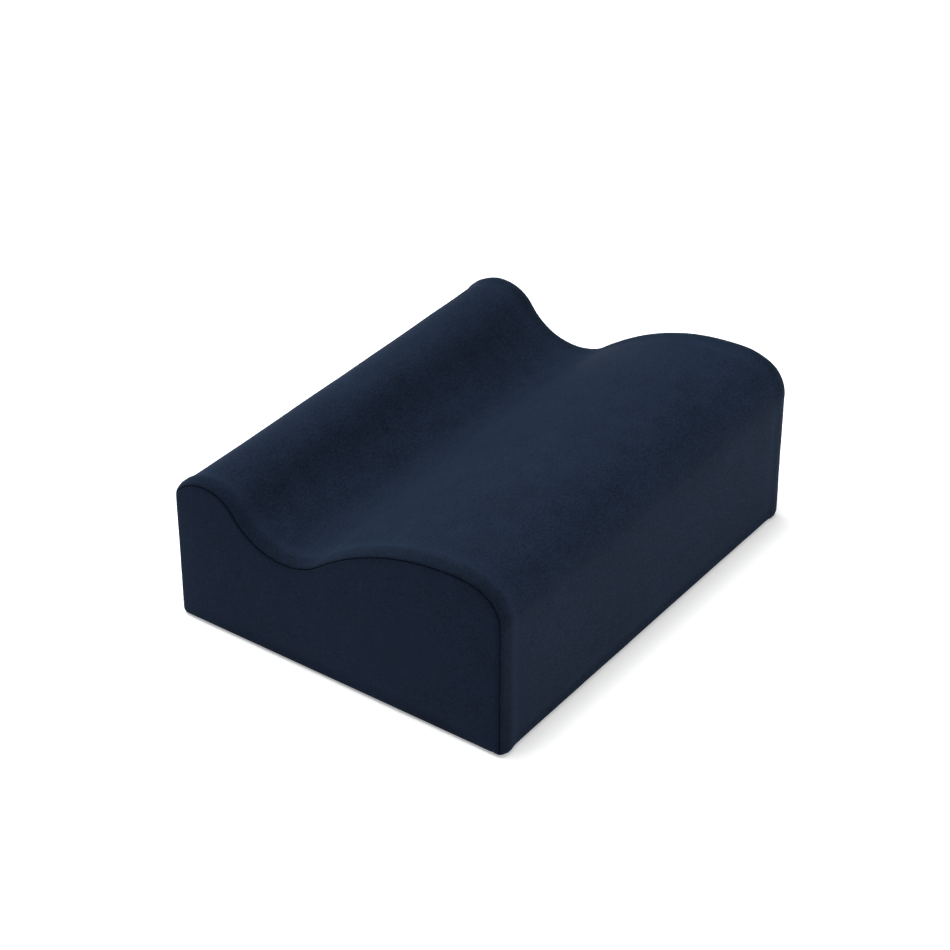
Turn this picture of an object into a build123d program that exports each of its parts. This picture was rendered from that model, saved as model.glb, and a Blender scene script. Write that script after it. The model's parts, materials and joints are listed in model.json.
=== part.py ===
"""Contoured cervical support block: a foam core in a sewn liner and a zipped stretch cover.

Frame: +X along the block's length, -Y is the high front side, +Y is the back wall
that holds the zip, +Z is up, and the origin is the middle of the face it rests on.
All sizes are in millimetres.
"""

import math
import os

from build123d import *

# ---- overall shape of the finished block -------------------------------------
LENGTH = 372.0
DEPTH = 290.0
HUMP_HEIGHT = 140.0
HUMP_SETBACK = 39.0
SHOULDER_RADIUS = 28.0
BROW_RADIUS = 58.0
VALLEY_HEIGHT = 87.0
VALLEY_SETBACK = 99.0
VALLEY_RADIUS = 50.0
CREST_HEIGHT = 124.0
CREST_SETBACK = 29.5
CREST_BACK_RADIUS = 36.0
BACK_EDGE_RADIUS = 13.0
BASE_RADIUS = 5.0
END_ROUNDING = 4.0

# ---- layers, from the outside in ---------------------------------------------
COVER_THICKNESS = 1.5
LINER_THICKNESS = 1.0
LAYER_CLEARANCE = 0.3

# ---- seams of the cover and the liner ----------------------------------------
END_SEAM_INSET = 2.2
BASE_SEAM_SETBACK = 9.0
SEAM_THREAD_WIDTH = 0.6
SEAM_SINK = 0.35
LINER_SEAM_INSET = 2.2
LINER_STITCH_WIDTH = 1.0

# ---- zip in the back wall ----------------------------------------------------
ZIP_HEIGHT = 22.0
ZIP_OPENING_LENGTH = 334.0
LIP_GAP = 11.0
TAPE_LENGTH = 350.0
TAPE_WIDTH = 13.0
TAPE_THICKNESS = 0.5
COIL_WIDTH = 2.2
COIL_THICKNESS = 1.3
COIL_GAP = 1.2
COIL_END_MARGIN = 2.0
STOP_LENGTH = 3.0
STOP_OVERHANG = 0.4
TOPSTITCH_OFFSET = 2.5
TOPSTITCH_WIDTH = 0.6
TOPSTITCH_HEIGHT = 0.4
TACK_LENGTH = 2.4
TACK_HEIGHT = 0.5
TACK_OVERLAP = 1.5

# ---- slider and its pull -----------------------------------------------------
SLIDER_LENGTH = 10.5
SLIDER_CORNER = 2.4
PLATE_THICKNESS = 1.0
FLANGE_THICKNESS = 1.3
SLIDER_CLEARANCE = 0.3
POST_LENGTH = 3.0
BAIL_WINDOW_LENGTH = 3.6
BAIL_WINDOW_HEIGHT = 2.0
BAIL_WIRE = 0.9
BAIL_WIDTH = 1.6
PULL_BAR_DIAMETER = 1.2
PULL_CLEARANCE = 0.4
PULL_ARM_WIDTH = 1.2
PULL_ARM_LENGTH = 3.9
PULL_LENGTH = 22.0
PULL_WIDTH = 6.4
PULL_THICKNESS = 1.2
PULL_HOLE_LENGTH = 5.0
PULL_HOLE_WIDTH = 2.6

# ---- care label --------------------------------------------------------------
LABEL_WIDTH = 22.0
LABEL_DROP = 34.0
LABEL_THICKNESS = 0.4
LABEL_END_SETBACK = 14.0
LABEL_HEIGHT = 66.0

# ---- places worked out from the sizes above ----------------------------------
BACK_FACE = DEPTH / 2
COVER_INNER = BACK_FACE - COVER_THICKNESS
LINER_INSET = COVER_THICKNESS + LAYER_CLEARANCE
LINER_INNER = LINER_INSET + LINER_THICKNESS
FOAM_INSET = LINER_INNER + LAYER_CLEARANCE
TAPE_BACK = COVER_INNER - TAPE_THICKNESS
COIL_FACE = COVER_INNER + COIL_THICKNESS
LOWER_PLATE_OUTER = TAPE_BACK - SLIDER_CLEARANCE
LOWER_PLATE_INNER = LOWER_PLATE_OUTER - PLATE_THICKNESS
UPPER_PLATE_INNER = COIL_FACE + SLIDER_CLEARANCE
UPPER_PLATE_OUTER = UPPER_PLATE_INNER + PLATE_THICKNESS
COIL_OUTER_EDGE = COIL_GAP / 2 + COIL_WIDTH
FLANGE_INNER = COIL_OUTER_EDGE + SLIDER_CLEARANCE
SLIDER_WIDTH = 2 * (FLANGE_INNER + FLANGE_THICKNESS)
POST_WIDTH = COIL_GAP - 2 * SLIDER_CLEARANCE
COIL_LENGTH = ZIP_OPENING_LENGTH - 2 * COIL_END_MARGIN
CHAIN_RUN = COIL_LENGTH - 2 * STOP_LENGTH
SLIDER_TRAVEL = CHAIN_RUN - SLIDER_LENGTH - 2 * SLIDER_CLEARANCE
SLIDER_X = SLIDER_TRAVEL / 2
PULL_AXIS_Y = UPPER_PLATE_OUTER + PULL_CLEARANCE + PULL_THICKNESS / 2


def outline(inset):
    """The side outline moved inwards by inset, as a face in the Y-Z plane.

    Every stretch is a line or an arc tangent to its neighbours, so moving the outline
    inwards takes inset off each outward-curving radius and adds it to the valley's.
    """
    hump_setback = HUMP_SETBACK - inset
    crest_setback = CREST_SETBACK - inset
    shoulder = SHOULDER_RADIUS - inset
    brow = BROW_RADIUS - inset
    valley = VALLEY_RADIUS + inset
    crest_back = CREST_BACK_RADIUS - inset
    back_edge = BACK_EDGE_RADIUS - inset
    base = BASE_RADIUS - inset

    brow_turn = math.asin((hump_setback - shoulder) / (brow - shoulder))
    crest_turn = math.asin((crest_setback - back_edge) / (crest_back - back_edge))
    slope_run = DEPTH - VALLEY_SETBACK - HUMP_SETBACK
    slope_turn = 2 * math.atan((HUMP_HEIGHT - VALLEY_HEIGHT) / slope_run)
    slope = slope_run / math.sin(slope_turn) - valley
    rise_run = VALLEY_SETBACK - CREST_SETBACK
    rise_turn = 2 * math.atan((CREST_HEIGHT - VALLEY_HEIGHT) / rise_run)
    crest_front = rise_run / math.sin(rise_turn) - valley
    front_top = HUMP_HEIGHT - inset - brow + (brow - shoulder) * math.cos(brow_turn)
    back_top = CREST_HEIGHT - inset - crest_back + (crest_back - back_edge) * math.cos(crest_turn)

    quarter = math.pi / 2
    front_line = Line((-DEPTH / 2 + inset, BASE_RADIUS), (-DEPTH / 2 + inset, front_top))
    edges = [front_line]
    heading = quarter
    for radius, turn in (
        (shoulder, brow_turn - quarter),
        (brow, -brow_turn),
        (slope, -slope_turn),
        (valley, slope_turn + rise_turn),
        (crest_front, -rise_turn),
        (crest_back, -crest_turn),
        (back_edge, crest_turn - quarter),
    ):
        direction = (math.cos(heading), math.sin(heading))
        edges.append(JernArc(edges[-1] @ 1, direction, radius, math.degrees(turn)))
        heading += turn
    edges.append(Line(edges[-1] @ 1, (DEPTH / 2 - inset, BASE_RADIUS)))
    edges.append(JernArc(edges[-1] @ 1, (0, -1), base, -90))
    edges.append(Line(edges[-1] @ 1, (-DEPTH / 2 + BASE_RADIUS, inset)))
    edges.append(ThreePointArc(
        edges[-1] @ 1,
        (
            -DEPTH / 2 + BASE_RADIUS - base * math.sin(quarter / 2),
            BASE_RADIUS - base * math.cos(quarter / 2),
        ),
        front_line @ 0,
    ))
    return make_face(Plane.YZ * Wire(edges))


def prism(inset, x_from, x_to):
    """The outline at inset, swept square-ended from x_from to x_to."""
    return Pos(x_from, 0, 0) * extrude(outline(inset), amount=x_to - x_from, dir=(1, 0, 0))


def block(inset):
    """The whole block moved inwards by inset, with its two end outlines rounded."""
    half = LENGTH / 2 - inset
    body = prism(inset, -half, half)
    ends = body.faces().sort_by(Axis.X)
    rims = ends[0].edges() + ends[-1].edges()
    return fillet(rims, END_ROUNDING - inset)


def span(x, y, z):
    """A box between two limits on each axis."""
    lengths = [high - low for low, high in (x, y, z)]
    middle = [(high + low) / 2 for low, high in (x, y, z)]
    return Pos(*middle) * Box(*lengths)


def zip_relief(grow):
    """The room that the tapes and the slider press into the soft layers, grown by grow."""
    tape_half = TAPE_LENGTH / 2 + LAYER_CLEARANCE + grow
    tape_reach = COIL_GAP / 2 + TAPE_WIDTH + LAYER_CLEARANCE + grow
    tape_bed = span(
        (-tape_half, tape_half),
        (TAPE_BACK - LAYER_CLEARANCE - grow, BACK_FACE + 1),
        (ZIP_HEIGHT - tape_reach, ZIP_HEIGHT + tape_reach),
    )
    slider_half = SLIDER_TRAVEL / 2 + SLIDER_LENGTH / 2 + LAYER_CLEARANCE + grow
    slider_reach = SLIDER_WIDTH / 2 + LAYER_CLEARANCE + grow
    slider_track = span(
        (-slider_half, slider_half),
        (LOWER_PLATE_INNER - LAYER_CLEARANCE - grow, BACK_FACE + 1),
        (ZIP_HEIGHT - slider_reach, ZIP_HEIGHT + slider_reach),
    )
    return tape_bed + slider_track


def cover_parts():
    """The four fabric panels of the cover and the sewing threads in its seams."""
    shell = block(0) - block(COVER_THICKNESS)
    sunk = block(SEAM_SINK)
    half = LENGTH / 2
    thread_in = END_SEAM_INSET + SEAM_THREAD_WIDTH / 2
    thread_out = END_SEAM_INSET - SEAM_THREAD_WIDTH / 2
    parts = {}
    end_zones = {}
    for side, name in ((-1, "left"), (1, "right")):
        low, high = sorted((side * (half + 1), side * (half - END_ROUNDING)))
        panel_zone = prism(thread_in, low, high)
        seam_zone = prism(thread_out, low, high)
        parts[f"cover_end_panel_{name}"] = shell & panel_zone
        parts[f"end_seam_thread_{name}"] = shell & sunk & (seam_zone - panel_zone)
        end_zones[name] = seam_zone

    body = shell - end_zones["left"] - end_zones["right"]
    lip_low = ZIP_HEIGHT - LIP_GAP / 2
    lip_high = ZIP_HEIGHT + LIP_GAP / 2
    seam_front = -DEPTH / 2 + BASE_SEAM_SETBACK
    whole_length = (-half - 1, half + 1)
    base_zone = span(
        whole_length, (seam_front + SEAM_THREAD_WIDTH / 2, BACK_FACE + 1), (-1, lip_low)
    )
    front_seam_zone = span(
        whole_length,
        (seam_front - SEAM_THREAD_WIDTH / 2, seam_front + SEAM_THREAD_WIDTH / 2),
        (-1, COVER_THICKNESS + 1),
    )
    mouth = span(
        (-ZIP_OPENING_LENGTH / 2, ZIP_OPENING_LENGTH / 2),
        (0, BACK_FACE + 1),
        (lip_low, lip_high),
    )
    parts["cover_base_panel"] = body & base_zone
    parts["base_seam_thread"] = body & sunk & front_seam_zone
    parts["cover_wrap_panel"] = body - base_zone - front_seam_zone - mouth
    return parts


def liner_parts():
    """The thin inner bag: a sleeve round the block, two ends and their overlock stitching."""
    shell = (block(LINER_INSET) - zip_relief(0)) - (block(LINER_INNER) - zip_relief(LINER_THICKNESS))
    half = LENGTH / 2 - LINER_INSET
    stitch_depth = LINER_THICKNESS / 2
    parts = {}
    sleeve = shell
    for side, name in ((-1, "left"), (1, "right")):
        low, high = sorted((side * (half + 1), side * (half - LINER_THICKNESS)))
        end_zone = prism(LINER_INSET + LINER_SEAM_INSET, low, high)
        ring_zone = prism(LINER_INSET + LINER_SEAM_INSET - LINER_STITCH_WIDTH, low, high) - end_zone
        outer = span(
            sorted((side * (half + 1), side * (half - stitch_depth))), (-DEPTH, DEPTH), (-1, DEPTH)
        )
        parts[f"liner_end_{name}"] = shell & end_zone
        parts[f"liner_seam_stitch_{name}"] = shell & ring_zone & outer
        sleeve = sleeve - end_zone - (ring_zone & outer)
    parts["liner_sleeve"] = sleeve
    return parts


def foam_core():
    """The moulded foam block, pressed in a little along the zip."""
    return block(FOAM_INSET) - zip_relief(LINER_THICKNESS + LAYER_CLEARANCE)


def zip_chain_parts():
    """Both tapes and coils, the end stops and the sewing that holds the tapes."""
    parts = {}
    coil_half = COIL_LENGTH / 2
    stop_out = COIL_OUTER_EDGE + STOP_OVERHANG
    for side, name in ((1, "upper"), (-1, "lower")):
        near = side * COIL_GAP / 2
        parts[f"zip_tape_{name}"] = span(
            (-TAPE_LENGTH / 2, TAPE_LENGTH / 2),
            (TAPE_BACK, COVER_INNER),
            sorted((ZIP_HEIGHT + near, ZIP_HEIGHT + near + side * TAPE_WIDTH)),
        )
        parts[f"zip_coil_{name}"] = span(
            (-coil_half + STOP_LENGTH, coil_half - STOP_LENGTH),
            (COVER_INNER, COIL_FACE),
            sorted((ZIP_HEIGHT + near, ZIP_HEIGHT + near + side * COIL_WIDTH)),
        )
        stitch_height = ZIP_HEIGHT + side * (LIP_GAP / 2 + TOPSTITCH_OFFSET)
        parts[f"zip_topstitch_{name}"] = span(
            (-ZIP_OPENING_LENGTH / 2, ZIP_OPENING_LENGTH / 2),
            (BACK_FACE, BACK_FACE + TOPSTITCH_HEIGHT),
            (stitch_height - TOPSTITCH_WIDTH / 2, stitch_height + TOPSTITCH_WIDTH / 2),
        )
    stop_y = (COVER_INNER, COIL_FACE)
    parts["zip_top_stops"] = Compound([
        span(
            (coil_half - STOP_LENGTH, coil_half),
            stop_y,
            sorted((ZIP_HEIGHT + side * COIL_GAP / 2, ZIP_HEIGHT + side * stop_out)),
        )
        for side in (1, -1)
    ])
    parts["zip_bottom_stop"] = span(
        (-coil_half, -coil_half + STOP_LENGTH), stop_y, (ZIP_HEIGHT - stop_out, ZIP_HEIGHT + stop_out)
    )
    tack_half = LIP_GAP / 2 + TACK_OVERLAP
    parts["zip_bar_tacks"] = Compound([
        span(
            sorted((side * ZIP_OPENING_LENGTH / 2, side * (ZIP_OPENING_LENGTH / 2 + TACK_LENGTH))),
            (BACK_FACE, BACK_FACE + TACK_HEIGHT),
            (ZIP_HEIGHT - tack_half, ZIP_HEIGHT + tack_half),
        )
        for side in (1, -1)
    ])
    return parts


def slider_body():
    """The slider: two plates joined by a post, side flanges over the coils, and the bail."""
    half = SLIDER_LENGTH / 2
    facing = Plane((SLIDER_X, 0, ZIP_HEIGHT), x_dir=(1, 0, 0), z_dir=(0, 1, 0))
    plan = RectangleRounded(SLIDER_LENGTH, SLIDER_WIDTH, SLIDER_CORNER)
    plate = extrude(facing * plan, amount=PLATE_THICKNESS)
    upper = Pos(0, UPPER_PLATE_INNER, 0) * plate
    lower = Pos(0, LOWER_PLATE_INNER, 0) * plate
    flange_depth = UPPER_PLATE_INNER - COVER_INNER - SLIDER_CLEARANCE
    skirt = Pos(0, UPPER_PLATE_INNER - flange_depth, 0) * extrude(facing * plan, amount=flange_depth)
    channel = span(
        (SLIDER_X - half - 1, SLIDER_X + half + 1),
        (LOWER_PLATE_OUTER, UPPER_PLATE_INNER),
        (ZIP_HEIGHT - FLANGE_INNER, ZIP_HEIGHT + FLANGE_INNER),
    )
    post = span(
        (SLIDER_X + half - POST_LENGTH - SLIDER_CORNER / 2, SLIDER_X + half - SLIDER_CORNER / 2),
        (LOWER_PLATE_OUTER, UPPER_PLATE_INNER),
        (ZIP_HEIGHT - POST_WIDTH / 2, ZIP_HEIGHT + POST_WIDTH / 2),
    )
    bail_half = BAIL_WINDOW_LENGTH / 2 + BAIL_WIRE
    bail_top = UPPER_PLATE_OUTER + BAIL_WINDOW_HEIGHT + BAIL_WIRE
    arch = span(
        (SLIDER_X - bail_half, SLIDER_X + bail_half),
        (UPPER_PLATE_OUTER, bail_top),
        (ZIP_HEIGHT - BAIL_WIDTH / 2, ZIP_HEIGHT + BAIL_WIDTH / 2),
    )
    shoulders = arch.edges().filter_by(Axis.Z).group_by(Axis.Y)[-1]
    arch = fillet(shoulders, BAIL_WIRE)
    window = span(
        (SLIDER_X - BAIL_WINDOW_LENGTH / 2, SLIDER_X + BAIL_WINDOW_LENGTH / 2),
        (UPPER_PLATE_OUTER, UPPER_PLATE_OUTER + BAIL_WINDOW_HEIGHT),
        (ZIP_HEIGHT - BAIL_WIDTH, ZIP_HEIGHT + BAIL_WIDTH),
    )
    return upper + (skirt - channel) + lower + post + (arch - window)


def pull_tab():
    """The pull: a bar through the bail, two arms round it and a rounded grip with a hole."""
    bar_half = BAIL_WIDTH / 2 + PULL_CLEARANCE + PULL_ARM_WIDTH
    bar = Pos(SLIDER_X, PULL_AXIS_Y, ZIP_HEIGHT) * Cylinder(PULL_BAR_DIAMETER / 2, 2 * bar_half)
    facing = Plane(
        (SLIDER_X, PULL_AXIS_Y - PULL_THICKNESS / 2, ZIP_HEIGHT), x_dir=(1, 0, 0), z_dir=(0, 1, 0)
    )
    arms = Sketch() + [
        Pos(-PULL_ARM_LENGTH / 2, side * (bar_half - PULL_ARM_WIDTH / 2))
        * Rectangle(PULL_ARM_LENGTH, PULL_ARM_WIDTH)
        for side in (1, -1)
    ]
    grip_length = PULL_LENGTH - PULL_ARM_LENGTH
    grip_middle = -PULL_ARM_LENGTH - grip_length / 2
    grip = Pos(grip_middle, 0) * RectangleRounded(grip_length, PULL_WIDTH, PULL_WIDTH / 4)
    hole = Pos(-PULL_LENGTH + PULL_HOLE_LENGTH, 0) * SlotOverall(PULL_HOLE_LENGTH, PULL_HOLE_WIDTH)
    return bar + extrude(facing * (arms + grip - hole), amount=PULL_THICKNESS)


def care_label():
    """A blank woven label sewn flat on the back wall."""
    right = LENGTH / 2 - LABEL_END_SETBACK
    return span(
        (right - LABEL_WIDTH, right),
        (BACK_FACE, BACK_FACE + LABEL_THICKNESS),
        (LABEL_HEIGHT - LABEL_DROP / 2, LABEL_HEIGHT + LABEL_DROP / 2),
    )


def all_parts():
    """Every node by name."""
    parts = {"foam_core": foam_core()}
    parts.update(liner_parts())
    parts.update(cover_parts())
    parts.update(zip_chain_parts())
    parts["zip_slider"] = slider_body()
    parts["zip_pull"] = pull_tab()
    parts["care_label"] = care_label()
    return parts


os.makedirs("parts", exist_ok=True)
for name, shape in all_parts().items():
    export_step(shape, f"parts/{name}.step")
print("slider travel", round(SLIDER_TRAVEL, 2), "from x", round(SLIDER_X, 2))
print("pull axis at y", round(PULL_AXIS_Y, 3), "z", ZIP_HEIGHT)
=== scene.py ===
"""A contoured neck-support pillow: navy stretch cover, zip, liner and foam, built on its CAD frame."""

import json
import logging
import math
from collections.abc import Callable, Iterable, Sequence
from dataclasses import dataclass
from enum import Enum

import bmesh
import bpy
from mathutils import Matrix, Vector, kdtree, noise
from mathutils.bvhtree import BVHTree

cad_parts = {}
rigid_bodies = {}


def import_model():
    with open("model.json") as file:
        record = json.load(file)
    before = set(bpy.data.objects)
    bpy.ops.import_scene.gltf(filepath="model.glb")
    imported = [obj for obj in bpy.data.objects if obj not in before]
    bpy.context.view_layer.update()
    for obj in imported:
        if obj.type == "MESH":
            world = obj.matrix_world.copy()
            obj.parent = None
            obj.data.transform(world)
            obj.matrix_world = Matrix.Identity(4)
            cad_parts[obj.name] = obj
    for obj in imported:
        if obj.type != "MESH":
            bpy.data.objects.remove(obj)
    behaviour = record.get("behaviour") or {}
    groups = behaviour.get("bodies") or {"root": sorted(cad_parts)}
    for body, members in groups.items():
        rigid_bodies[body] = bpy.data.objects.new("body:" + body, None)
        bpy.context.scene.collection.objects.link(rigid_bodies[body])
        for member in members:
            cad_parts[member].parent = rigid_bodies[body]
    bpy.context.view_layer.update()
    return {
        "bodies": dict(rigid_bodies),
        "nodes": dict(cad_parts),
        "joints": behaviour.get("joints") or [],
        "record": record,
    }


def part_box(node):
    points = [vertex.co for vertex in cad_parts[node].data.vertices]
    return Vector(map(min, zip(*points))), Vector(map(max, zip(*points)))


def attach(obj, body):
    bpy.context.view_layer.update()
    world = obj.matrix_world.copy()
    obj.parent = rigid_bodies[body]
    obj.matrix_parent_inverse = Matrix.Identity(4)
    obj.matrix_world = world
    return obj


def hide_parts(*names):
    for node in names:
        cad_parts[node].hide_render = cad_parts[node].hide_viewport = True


LOG = logging.getLogger("pillow")
MM = 0.001
PILLOW_BODY = "pillow"
SLIDER_BODY = "slider"
PULL_BODY = "pull"

FACING_BACK = (-math.pi / 2, 0, 0)
CREASE = math.radians(60)

Colour = tuple[float, float, float]
Point2 = tuple[float, float]
Path = tuple[list[Vector], list[Vector]]


# ---- shader building ---------------------------------------------------------


class Signal:
    """One number coming out of a node, which Python's operators turn into Math nodes."""

    def __init__(self, recipe: "Recipe", socket: bpy.types.NodeSocket) -> None:
        """Keeps the socket and the recipe that it belongs to."""
        self.recipe = recipe
        self.socket = socket

    def math(self, operation: str, *values: "Signal | float") -> "Signal":
        """Adds a Math node fed by values.

        Args:
            operation: The Math node's operation.
            values: Its inputs in order.

        Returns:
            The node's result.
        """
        node = self.recipe.add("ShaderNodeMath", {"operation": operation}, *values)
        return Signal(self.recipe, node.outputs[0])

    def __add__(self, other: "Signal | float") -> "Signal":
        """Returns self + other."""
        return self.math("ADD", self, other)

    def __sub__(self, other: "Signal | float") -> "Signal":
        """Returns self - other."""
        return self.math("SUBTRACT", self, other)

    def __rsub__(self, other: float) -> "Signal":
        """Returns other - self."""
        return self.math("SUBTRACT", other, self)

    def __mul__(self, other: "Signal | float") -> "Signal":
        """Returns self * other."""
        return self.math("MULTIPLY", self, other)

    def __pow__(self, other: float) -> "Signal":
        """Returns self raised to other."""
        return self.math("POWER", self, other)

    __radd__ = __add__
    __rmul__ = __mul__

    def __abs__(self) -> "Signal":
        """Returns self without its sign."""
        return self.math("ABSOLUTE", self)

    def wave(self) -> "Signal":
        """Returns the sine of self, moved into the range 0 to 1."""
        return self.math("SINE", self) * 0.5 + 0.5

    def between(self, low: float, high: float) -> "Signal":
        """Turns low to high into a smooth 0 to 1.

        Args:
            low: The value that becomes 0.
            high: The value that becomes 1.

        Returns:
            The smoothed step.
        """
        settings = {"interpolation_type": "SMOOTHSTEP"}
        node = self.recipe.add("ShaderNodeMapRange", settings, self, low, high, 0.0, 1.0)
        return Signal(self.recipe, node.outputs[0])


class Recipe:
    """A material under construction, with its Principled shader and its pattern nodes."""

    def __init__(self, name: str, constants: dict[str, object]) -> None:
        """Starts a material.

        Args:
            name: The material's name.
            constants: Shader sockets that are the same all over the surface.
        """
        self.material = bpy.data.materials.new(name)
        self.material.use_nodes = True
        self.nodes = self.material.node_tree.nodes
        self.links = self.material.node_tree.links
        self.shader = next(n for n in self.nodes if n.type == "BSDF_PRINCIPLED")
        for socket, value in constants.items():
            self.shader.inputs[socket].default_value = value
        self.place = self.add("ShaderNodeTexCoord").outputs["Object"]

    def add(self, kind: str, settings: dict[str, object] | None = None, *values: object) -> bpy.types.Node:
        """Adds any node.

        Args:
            kind: The node's type.
            settings: Its own settings, set before its sockets.
            values: Its sockets' values or links in order.

        Returns:
            The new node.
        """
        node = self.nodes.new(kind)
        for key, value in (settings or {}).items():
            setattr(node, key, value)
        for socket, value in zip(node.inputs, values):
            self.plug(value, socket)
        return node

    def plug(self, value: object, socket: bpy.types.NodeSocket) -> None:
        """Links or sets one socket.

        Args:
            value: A signal, a socket or a plain value.
            socket: The socket to feed.
        """
        if isinstance(value, Signal):
            self.links.new(value.socket, socket)
        elif isinstance(value, bpy.types.NodeSocket):
            self.links.new(value, socket)
        else:
            socket.default_value = value

    def cloud(self, size: float, detail: float = 2.0, roughness: float = 0.5) -> Signal:
        """Adds soft noise.

        Args:
            size: The size of its blotches, in metres.
            detail: How many finer layers it has.
            roughness: How strong the finer layers are.

        Returns:
            The noise, around 0.5.
        """
        node = self.add("ShaderNodeTexNoise", None, self.place)
        node.inputs["Scale"].default_value = 1.0 / size
        node.inputs["Detail"].default_value = detail
        node.inputs["Roughness"].default_value = roughness
        return Signal(self, node.outputs[0])

    def cells(self, size: float) -> Signal:
        """Adds a cell pattern.

        Args:
            size: The width of one cell, in metres.

        Returns:
            The distance within each cell.
        """
        node = self.add("ShaderNodeTexVoronoi", {"feature": "F1"}, self.place)
        node.inputs["Scale"].default_value = 1.0 / size
        return Signal(self, node.outputs["Distance"])

    def axis(self, name: str) -> Signal:
        """Returns one of the object's coordinates, X, Y or Z, in metres."""
        node = self.add("ShaderNodeSeparateXYZ", None, self.place)
        return Signal(self, node.outputs[name])

    def blend(
        self, share: Signal, first: "Colour | bpy.types.NodeSocket", second: Colour
    ) -> bpy.types.NodeSocket:
        """Mixes two colours.

        Args:
            share: 0 for first, 1 for second.
            first: The colour at 0, or a socket that gives it.
            second: The colour at 1.

        Returns:
            The mixed colour.
        """
        node = self.add("ShaderNodeMix", {"data_type": "RGBA"})
        self.plug(share, node.inputs[0])
        self.plug((*first, 1.0) if isinstance(first, tuple) else first, node.inputs[6])
        node.inputs[7].default_value = (*second, 1.0)
        return node.outputs[2]

    def finish(
        self, colour: bpy.types.NodeSocket, roughness: Signal, height: Signal, relief: float
    ) -> bpy.types.Material:
        """Connects the patterns to the shader.

        Args:
            colour: The surface colour.
            roughness: The surface roughness.
            height: The bump's height, from 0 to 1.
            relief: How high 1 stands, in metres.

        Returns:
            The finished material.
        """
        self.plug(colour, self.shader.inputs["Base Color"])
        self.plug(roughness, self.shader.inputs["Roughness"])
        bump = self.add("ShaderNodeBump")
        bump.inputs["Strength"].default_value = 1.0
        bump.inputs["Distance"].default_value = relief
        self.plug(height, bump.inputs["Height"])
        self.plug(bump.outputs[0], self.shader.inputs["Normal"])
        return self.material


def shaded(colour: Colour, factor: float) -> Colour:
    """Returns a colour made lighter or darker by factor."""
    return tuple(min(1.0, part * factor) for part in colour)


@dataclass(frozen=True)
class Finish:
    """A material whose colour varies between a darker and a lighter tone."""

    name: str
    colour: Colour
    dark: float
    light: float

    def tones(self, recipe: Recipe, share: Signal) -> bpy.types.NodeSocket:
        """Returns the colour that goes from the dark tone to the light one as share grows."""
        return recipe.blend(share, shaded(self.colour, self.dark), shaded(self.colour, self.light))


@dataclass(frozen=True)
class NapFabric(Finish):
    """Brushed stretch velour: a short dense nap with soft brushed patches. Beside each end seam its
    colour has a strip of painted shade, darker, with a band of painted highlight further in, lighter."""

    name: str = "navy_velour"
    colour: Colour = (0.0078, 0.0134, 0.0262)
    dark: float = 0.45
    light: float = 1.55
    tone_low: float = 0.36
    tone_high: float = 0.64
    # painted shade: a darker strip of colour beside each end seam, placed by distance along X
    pressed_from: float = 171.0 * MM
    pressed_full: float = 182.0 * MM
    pressed_to: float = 185.6 * MM
    pressed_edge_in: float = 0.4 * MM
    pressed_edge_out: float = 0.1 * MM
    pressed_share: float = 0.4
    pressed_shade: float = 0.42
    # painted highlight: a lighter band of colour further in from each end seam
    raised_from: float = 158.0 * MM
    raised_full: float = 169.0 * MM
    raised_fade: float = 5 * MM
    raised_share: float = 0.18
    raised_shade: float = 1.8
    fibre: float = 0.55 * MM
    grain: float = 1.3 * MM
    brushed_patch: float = 16 * MM
    broad_patch: float = 75 * MM
    nap_height: float = 0.16 * MM

    def make(self) -> bpy.types.Material:
        """Returns the material."""
        recipe = Recipe(self.name, {
            "Sheen Weight": 0.085,
            "Sheen Roughness": 0.5,
            "Sheen Tint": (0.35, 0.55, 1.0, 1.0),
            "Specular IOR Level": 0.04,
        })
        fibres = recipe.cloud(self.fibre, detail=2.0, roughness=0.6)
        grain = recipe.cloud(self.grain, detail=3.0, roughness=0.65)
        brushed = recipe.cloud(self.brushed_patch, detail=3.0, roughness=0.55)
        broad = recipe.cloud(self.broad_patch, detail=2.0)
        tone = fibres * 0.31 + grain * 0.50 + brushed * 0.12 + broad * 0.07
        colour = self.tones(recipe, tone.between(self.tone_low, self.tone_high))
        along = abs(recipe.axis("X"))
        # painted highlight: lighter colour in a band further in from the end seam
        raised = along.between(self.raised_from, self.raised_full)
        raised = raised * (1.0 - along.between(self.pressed_from, self.pressed_from + self.raised_fade))
        colour = recipe.blend(raised * self.raised_share, colour, shaded(self.colour, self.raised_shade))
        # painted shade: darker colour in a strip beside the end seam, fading out at the seam itself
        pressed = along.between(self.pressed_from, self.pressed_full)
        edge = along.between(self.pressed_to - self.pressed_edge_in, self.pressed_to + self.pressed_edge_out)
        pressed = pressed * (1.0 - edge)
        colour = recipe.blend(pressed * self.pressed_share, colour, shaded(self.colour, self.pressed_shade))
        height = fibres * 0.55 + grain * 0.35 + brushed * 0.10
        return recipe.finish(colour, brushed * 0.16 + 0.78, height, self.nap_height)


@dataclass(frozen=True)
class SewingThread(Finish):
    """Twisted polyester thread."""

    dark: float = 0.75
    light: float = 1.25
    twist: float = 0.35 * MM

    def make(self) -> bpy.types.Material:
        """Returns the material."""
        recipe = Recipe(self.name, {"Specular IOR Level": 0.03})
        slant = (recipe.axis("X") + recipe.axis("Y") + recipe.axis("Z")) * (math.tau / self.twist)
        strands = slant.wave()
        colour = self.tones(recipe, strands)
        return recipe.finish(colour, recipe.cloud(2 * MM) * 0.2 + 0.55, strands, 0.05 * MM)


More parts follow.
